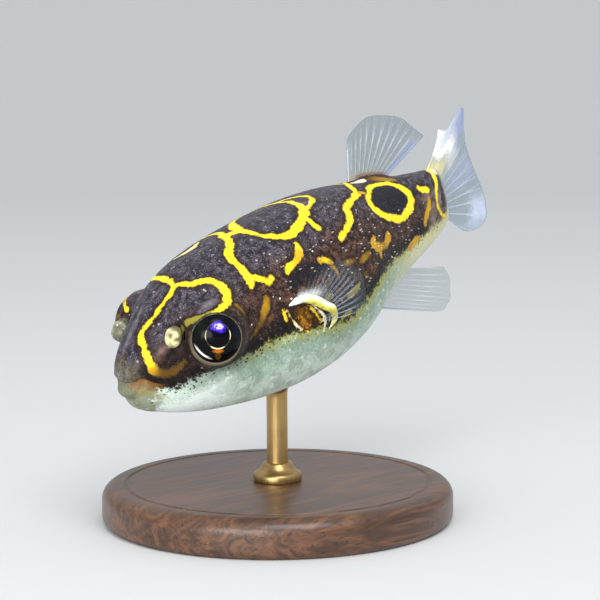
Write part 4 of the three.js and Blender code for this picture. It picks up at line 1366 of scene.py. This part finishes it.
# White, ice and blue are painted highlights; cream and lime are the fins' own tints.
finHighlightsAndTints = {"white": colour(250, 251, 252), "blue": colour(166, 180, 232), "ice": colour(214, 224, 246),
            "cream": colour(238, 230, 168), "lime": colour(188, 188, 86)}
clearFin = {
    "rays": 11,
    "sunk": -0.1,  # the rays start this share of their length inside the body
    "rayWidth": 0.1,
    "rayEnd": 0.35,  # how much of a ray still shows at its tip
    "joints": 22,
    "web": colour(112, 130, 136),
    "webShade": colour(84, 104, 110),
    "ray": colour(214, 224, 228),
    "webAlpha": 0.3,
    "rayAlpha": 0.72,
    "root": colour(170, 150, 110),
    "rootFade": 0.14,
    "rootAlpha": 0.7,
    "frontFade": 0.0,
}
# A patch lies between two shares of the fin's width and two of its length, with a strength and a colour. The
# white, ice and blue ones are painted highlights where light catches the rays and edges; the cream and lime
# ones are the fins' own tints.
finLooks = {
    "dorsal": {**clearFin, "rays": 12, "root": colour(140, 96, 52),
               "patches": [(-0.1, 0.03, -0.1, 0.85, 0.9, "ice"), (0.93, 1.1, -0.1, 0.85, 0.6, "blue"),
                           (-0.1, 0.2, -0.1, 0.06, 0.6, "cream")]},
    "anal": {**clearFin, "rays": 10, "webAlpha": 0.2, "rayAlpha": 0.36, "root": colour(190, 204, 190),
             "patches": [(-0.1, 0.04, -0.1, 0.7, 0.5, "blue")]},
    "tail": {**clearFin, "webAlpha": 0.42, "rayAlpha": 0.56, "web": colour(118, 142, 152),
             "webShade": colour(146, 168, 186), "root": colour(196, 204, 180), "rootFade": 0.16,
             "patches": [(0.12, 0.26, 0.62, 1.2, 0.7, "blue"), (-0.2, 0.3, 0.34, 0.66, 1.0, "white"),
                         (-0.2, 0.1, 0.5, 1.4, 1.0, "white"), (-0.3, 0.25, -0.4, 0.34, 0.95, "cream"),
                         (0.38, 0.62, 0.3, 1.0, 0.4, "blue"), (0.76, 0.96, 0.62, 1.2, 0.92, "ice")]},
    "pectoral": {**clearFin, "rays": 17, "sunk": -0.4, "joints": 7, "ray": colour(184, 196, 216),
                 "webAlpha": 0.07, "rayAlpha": 0.5, "rayWidth": 0.13, "rayEnd": 0.1, "frontFade": 0.9,
                 "root": colour(240, 236, 200), "rootFade": 0.2, "rootAlpha": 0.9,
                 "patches": [(-0.1, 0.42, -0.1, 0.4, 0.8, "white"), (0.5, 0.62, 0.0, 0.34, 0.6, "lime")]},
}
finPaints = {name: makeFinPaint("clear " + name + " fin", look) for name, look in finLooks.items()}
for kind, surface in {"dorsal": dorsalSurface, "anal": analSurface, "tail": tailSurface}.items():
    makeFin(kind + "_web", kind + "_fin", surface, kind)
for label, side in sides.items():
    makeFin("pectoral_web_" + label, "pectoral_fin_" + label, pectoralSurface(side), "pectoral")
print("fins")

# The fleshy root of each pectoral fin: a tapered roll along the back of the gill opening. Its line gives
# station, angle, radius and how far its middle stands off the skin.
rollShape = {
    "line": [(20.5, 78.5, 0.08, 0.05), (21.2, 77.5, 0.34, 0.2), (22.1, 77, 0.54, 0.32), (23, 79, 0.6, 0.38),
             (24, 83, 0.62, 0.4), (25, 88.5, 0.6, 0.4), (25.9, 94, 0.56, 0.34), (26.6, 100, 0.48, 0.28),
             (26.8, 105.5, 0.36, 0.18), (26.3, 110, 0.18, 0.0), (25.8, 112, 0.06, -0.05)],
    "sides": 28,
    "steps": 12,
    "ripple": 0.035,
}


def makeRoll(label, side):
    line = smoothCurve(rollShape["line"], rollShape["steps"])
    count = len(line)
    deselectAll()
    bpy.ops.mesh.primitive_cylinder_add(vertices=rollShape["sides"], radius=1, depth=1,
                                        end_fill_type="TRIFAN")
    roll = bpy.context.object
    roll.name = roll.data.name = "pectoral_roll_" + label
    editAll()
    for step in range(1, count - 1):  # rings along it
        bpy.ops.mesh.select_all(action="SELECT")
        bpy.ops.mesh.bisect(plane_co=(0, 0, step / (count - 1) - 0.5), plane_no=(0, 0, 1))
    leaveEdit()
    flat = getPoints(roll)
    share = flat[:, 2] + 0.5
    at = share * (count - 1)
    knots = np.array([onSkin(row[0], -side * row[1]) for row in line])
    outward = unit(np.array([skinTree.find_nearest(Vector(knot))[1] for knot in knots]))
    knots = knots + outward * line[:, 3:4]
    forward = unit(np.gradient(knots, axis=0))
    outward = unit(outward - forward * (outward * forward).sum(1)[:, None])
    sideways = np.cross(forward, outward)

    def pick(rows):
        return np.stack([np.interp(at, np.arange(count), column) for column in rows.T], -1)

    turn = np.arctan2(flat[:, 1], flat[:, 0])
    inside = np.hypot(flat[:, 0], flat[:, 1])
    ripple = rollShape["ripple"] * np.sin(turn * 5 + share * 21)
    wide = pick(line[:, 2:3]) * (1 + ripple[:, None]) * inside[:, None]
    points = pick(knots) + pick(outward) * np.cos(turn)[:, None] * wide
    points += pick(sideways) * np.sin(turn)[:, None] * wide
    setPoints(roll, toWorld(points))
    activate(roll)
    editAll()
    bpy.ops.mesh.normals_make_consistent(inside=False)
    leaveEdit()
    roll.data.shade_smooth()
    storeValues(roll, "alongRoll", share)
    storeValues(roll, "roundRoll", np.sin(turn) * inside * side)
    roll.data.materials.append(rollPaint)
    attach(roll, "root")


def makeRollPaint():
    paint = startPaint("cream fin root")
    point = objectPoint()
    fine = noise(point, 0.28, 3)
    coarse = noise(point, 0.9, 3)
    far = attribute("alongRoll")
    inner = attribute("roundRoll")
    stripes = addNode("TexWave", {"bands_direction": "DIAGONAL"},
                      {"Vector": point, "Scale": 900.0, "Distortion": 3.0, "Detail": 2.0}).outputs["Fac"]
    base = coats(
        colour(250, 251, 250),
        (colour(236, 228, 92), band(total(far, spread(coarse, -0.1, 0.1)), 0.14, 0.34)),
        (colour(250, 250, 240), band(inner, -0.05, 0.5), band(far, 0.8, 0.55), 0.85),
        (colour(232, 230, 180), band(far, 0.6, 0.95)),
        (colour(126, 116, 60), band(stripes, 0.6, 0.9), band(inner, 0.2, -0.5), 0.35),
        (colour(252, 250, 236), band(fine, 0.58, 0.74), 0.5),
        (colour(150, 140, 70), band(fine, 0.4, 0.28), 0.45))
    return finishPaint(paint, {"Base Color": base, "Roughness": spread(fine, 0.25, 0.5)},
                       total(fine, stripes), 0.03)


rollPaint = makeRollPaint()
for label, side in sides.items():
    makeRoll(label, side)
print("fin roots")

# The display stand: turned pieces, whose profiles are heights and radii
standShape = {
    "sides": 160,
    "sink": 0.12,  # the rod's top enters the skin this far
    "smooth": 38,  # edges sharper than this stay sharp
    "base": [(0, 0), (0, 22.2), (0.12, 22.4), (0.35, 22.62), (0.6, 22.85), (0.9, 22.97), (1.3, 23),
             (3.1, 23)],
    "baseRadius": 23,
    "baseEdge": 1.8,  # the radius of its rounded upper edge
    "baseTop": 5,
    "bead": [(5, 20.2), (4.86, 20.1), (4.8, 19.9), (4.86, 19.7), (5, 19.6), (5, 1.7)],
    "ferrule": [(5, 0), (5, 3.0), (5.1, 3.15), (5.3, 3.2), (5.9, 3.2), (6.1, 3.1), (6.25, 2.85), (6.5, 2.45),
                (6.9, 2.1), (7.3, 1.95), (7.45, 1.85), (7.5, 1.7), (7.5, 1.4)],
    "rod": [(2.4, 0), (2.4, 1.38), (5, 1.38), (12, 1.38), (16, 1.38), (17, 1.4), (18, 1.52), (18.6, 1.72),
            (19, 1.95), (19.2, 2.0)],
    "padFoot": 16.5,  # above this height the rod's top follows the belly
}


def turnPiece(name, node, profile, paint):  # a disc extruded up its profile
    middle = boxMiddle(node)
    deselectAll()
    height, radius = profile[1]
    bpy.ops.mesh.primitive_circle_add(vertices=standShape["sides"], radius=radius * mm, fill_type="TRIFAN",
                                      location=(middle[0], middle[1], height * mm))
    piece = bpy.context.object
    piece.name = piece.data.name = name
    editAll()
    for nextHeight, nextRadius in profile[2:]:
        bpy.ops.mesh.extrude_region_move(TRANSFORM_OT_translate={"value": (0, 0, (nextHeight - height) * mm)})
        share = nextRadius / radius
        top = (middle[0], middle[1], nextHeight * mm)
        bpy.ops.transform.resize(value=(share, share, 1), center_override=top)
        height, radius = nextHeight, nextRadius
    bpy.ops.mesh.select_all(action="SELECT")
    bpy.ops.mesh.normals_make_consistent(inside=False)
    leaveEdit()
    bpy.ops.object.transform_apply(location=True, rotation=True, scale=True)
    piece.data.shade_smooth()
    bpy.ops.object.shade_smooth_by_angle(angle=math.radians(standShape["smooth"]))
    piece.data.materials.append(paint)
    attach(piece, "root")
    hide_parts(node)
    return piece


def makeWood():
    wood = startPaint("waxed dark wood")
    point = objectPoint((0.14, 1, 1))
    rings = noise(point, 2.6, 5, 0.62, 1.4)
    pores = noise(objectPoint((0.04, 1, 1)), 0.4, 3)
    base = layer(colour(66, 42, 28), colour(112, 74, 48), band(rings, 0.36, 0.66))
    base = layer(base, colour(38, 24, 17), band(pores, 0.56, 0.7), 0.8)
    return finishPaint(wood, {
        "Base Color": base,
        "Roughness": spread(rings, 0.3, 0.5),
        "Coat Weight": 0.25,
        "Coat Roughness": 0.25,
    }, pores, 0.03)


def makeBrass():
    brass = startPaint("brushed brass")
    brush = noise(objectPoint((1, 1, 0.05)), 0.22, 3)
    tarnish = noise(objectPoint(), 5, 3)
    base = layer(colour(158, 126, 76), colour(196, 166, 112), brush)
    base = layer(base, colour(128, 100, 62), band(tarnish, 0.5, 0.75), 0.5)
    sockets = {"Base Color": base, "Roughness": spread(brush, 0.26, 0.44), "Metallic": 1.0}
    return finishPaint(brass, sockets, brush, 0.01)


def makeStand():
    wood, brass = makeWood(), makeBrass()
    edge = standShape["baseEdge"]
    rounded = []
    for turn in np.radians(range(10, 91, 10)):
        rounded.append((standShape["baseTop"] - edge * (1 - math.sin(turn)),
                        standShape["baseRadius"] - edge * (1 - math.cos(turn))))
    turnPiece("turned_base", "stand_base", standShape["base"] + rounded + standShape["bead"], wood)
    turnPiece("turned_ferrule", "stand_ferrule", standShape["ferrule"], brass)
    rod = turnPiece("turned_rod", "stand_rod", standShape["rod"], brass)
    points = getPoints(rod) / mm
    foot, top = standShape["padFoot"], standShape["rod"][-1][0]
    upward = Vector(fishTurn.T @ np.array([0, 0, 1.0]))
    for index in np.flatnonzero(points[:, 2] > foot):
        spot = np.array([*points[index, :2], standShape["baseTop"] + 1])  # under the fish, looking up
        hit = skinTree.ray_cast(Vector((spot - fishOrigin) @ fishTurn), upward)[0]
        belly = (fishTurn @ np.array(hit) + fishOrigin)[2] + standShape["sink"]
        points[index, 2] = foot + (points[index, 2] - foot) * (belly - foot) / (top - foot)
    setPoints(rod, points * mm)


makeStand()
print("stand")

# The camera, the lights and the floor
view = {
    "toCamera": (-0.6027, -0.73, 0.3224),
    "up": (0.3991, 0.0742, 0.9139),
    "distance": 252,  # from the fish's middle
    "lens": 115.37,
    "shift": (0.0092, -0.031),
    "clip": (0.01, 20),
}


def makeCamera():
    back = Vector(fishTurn @ np.array(view["toCamera"])).normalized()
    up = Vector(fishTurn @ np.array(view["up"]))
    right = up.cross(back).normalized()
    up = back.cross(right)
    camera = addPiece("camera", bpy.data.cameras.new("camera"))
    turn = Matrix((right, up, back)).transposed().to_4x4()
    spot = Vector(toWorld(np.zeros(3))) + back * view["distance"] * mm
    camera.matrix_world = Matrix.Translation(spot) @ turn
    camera.data.lens = view["lens"]
    camera.data.shift_x, camera.data.shift_y = view["shift"]
    camera.data.clip_start, camera.data.clip_end = view["clip"]
    bpy.context.scene.camera = camera


studio = {
    "floor": (0.68, 0.69, 0.69, 1),
    "flatRadius": 0.7,  # the floor is flat out to here, then sweeps up
    "sweep": 0.9,
    "sweepSteps": 14,
    "sky": (0.93, 0.96, 1.0, 1),
    "skyStrength": 0.88,
    "key": {"spot": (-0.2, -0.38, 0.5), "size": 0.4, "power": 2.4},
    "fill": {"spot": (-0.5, -0.22, 0.06), "size": 0.4, "power": 3.0},
    "target": (0, 0, 0.03),
}


def addLight(name, look):
    light = addPiece(name, bpy.data.lights.new(name, "AREA"))
    light.data.shape = "DISK"
    light.data.size = look["size"]
    light.data.energy = look["power"]
    light.location = look["spot"]
    aim = Vector(studio["target"]) - Vector(look["spot"])
    light.rotation_euler = aim.to_track_quat("-Z", "Y").to_euler()


def makeStudio():
    deselectAll()
    radius, height = studio["flatRadius"], 0.0
    bpy.ops.mesh.primitive_circle_add(vertices=96, radius=radius, fill_type="TRIFAN", location=(0, 0, 0))
    floor = bpy.context.object
    floor.name = "floor"
    editAll()
    bpy.ops.mesh.select_mode(type="EDGE")
    bpy.ops.mesh.select_all(action="DESELECT")
    bpy.ops.mesh.select_non_manifold()
    for step in range(1, studio["sweepSteps"] + 1):  # the floor's rim swept up into a wall all round
        turn = math.pi / 2 * step / studio["sweepSteps"]
        nextRadius = studio["flatRadius"] + studio["sweep"] * math.sin(turn)
        nextHeight = studio["sweep"] * (1 - math.cos(turn))
        bpy.ops.mesh.extrude_edges_move(TRANSFORM_OT_translate={"value": (0, 0, nextHeight - height)})
        share = nextRadius / radius
        bpy.ops.transform.resize(value=(share, share, 1), center_override=(0, 0, nextHeight))
        radius, height = nextRadius, nextHeight
    bpy.ops.mesh.select_mode(type="VERT")
    leaveEdit()
    floor.data.shade_smooth()
    looks = {"Base Color": studio["floor"], "Roughness": 0.9, "Specular IOR Level": 0.1}
    floor.data.materials.append(finishPaint(startPaint("pale floor"), looks))
    world = bpy.data.worlds.new("studio")
    world.use_nodes = True
    world.node_tree.nodes["Background"].inputs["Color"].default_value = studio["sky"]
    world.node_tree.nodes["Background"].inputs["Strength"].default_value = studio["skyStrength"]
    bpy.context.scene.world = world
    bpy.context.scene.view_settings.view_transform = "Standard"
    addLight("key", studio["key"])
    addLight("fill", studio["fill"])


makeCamera()
makeStudio()
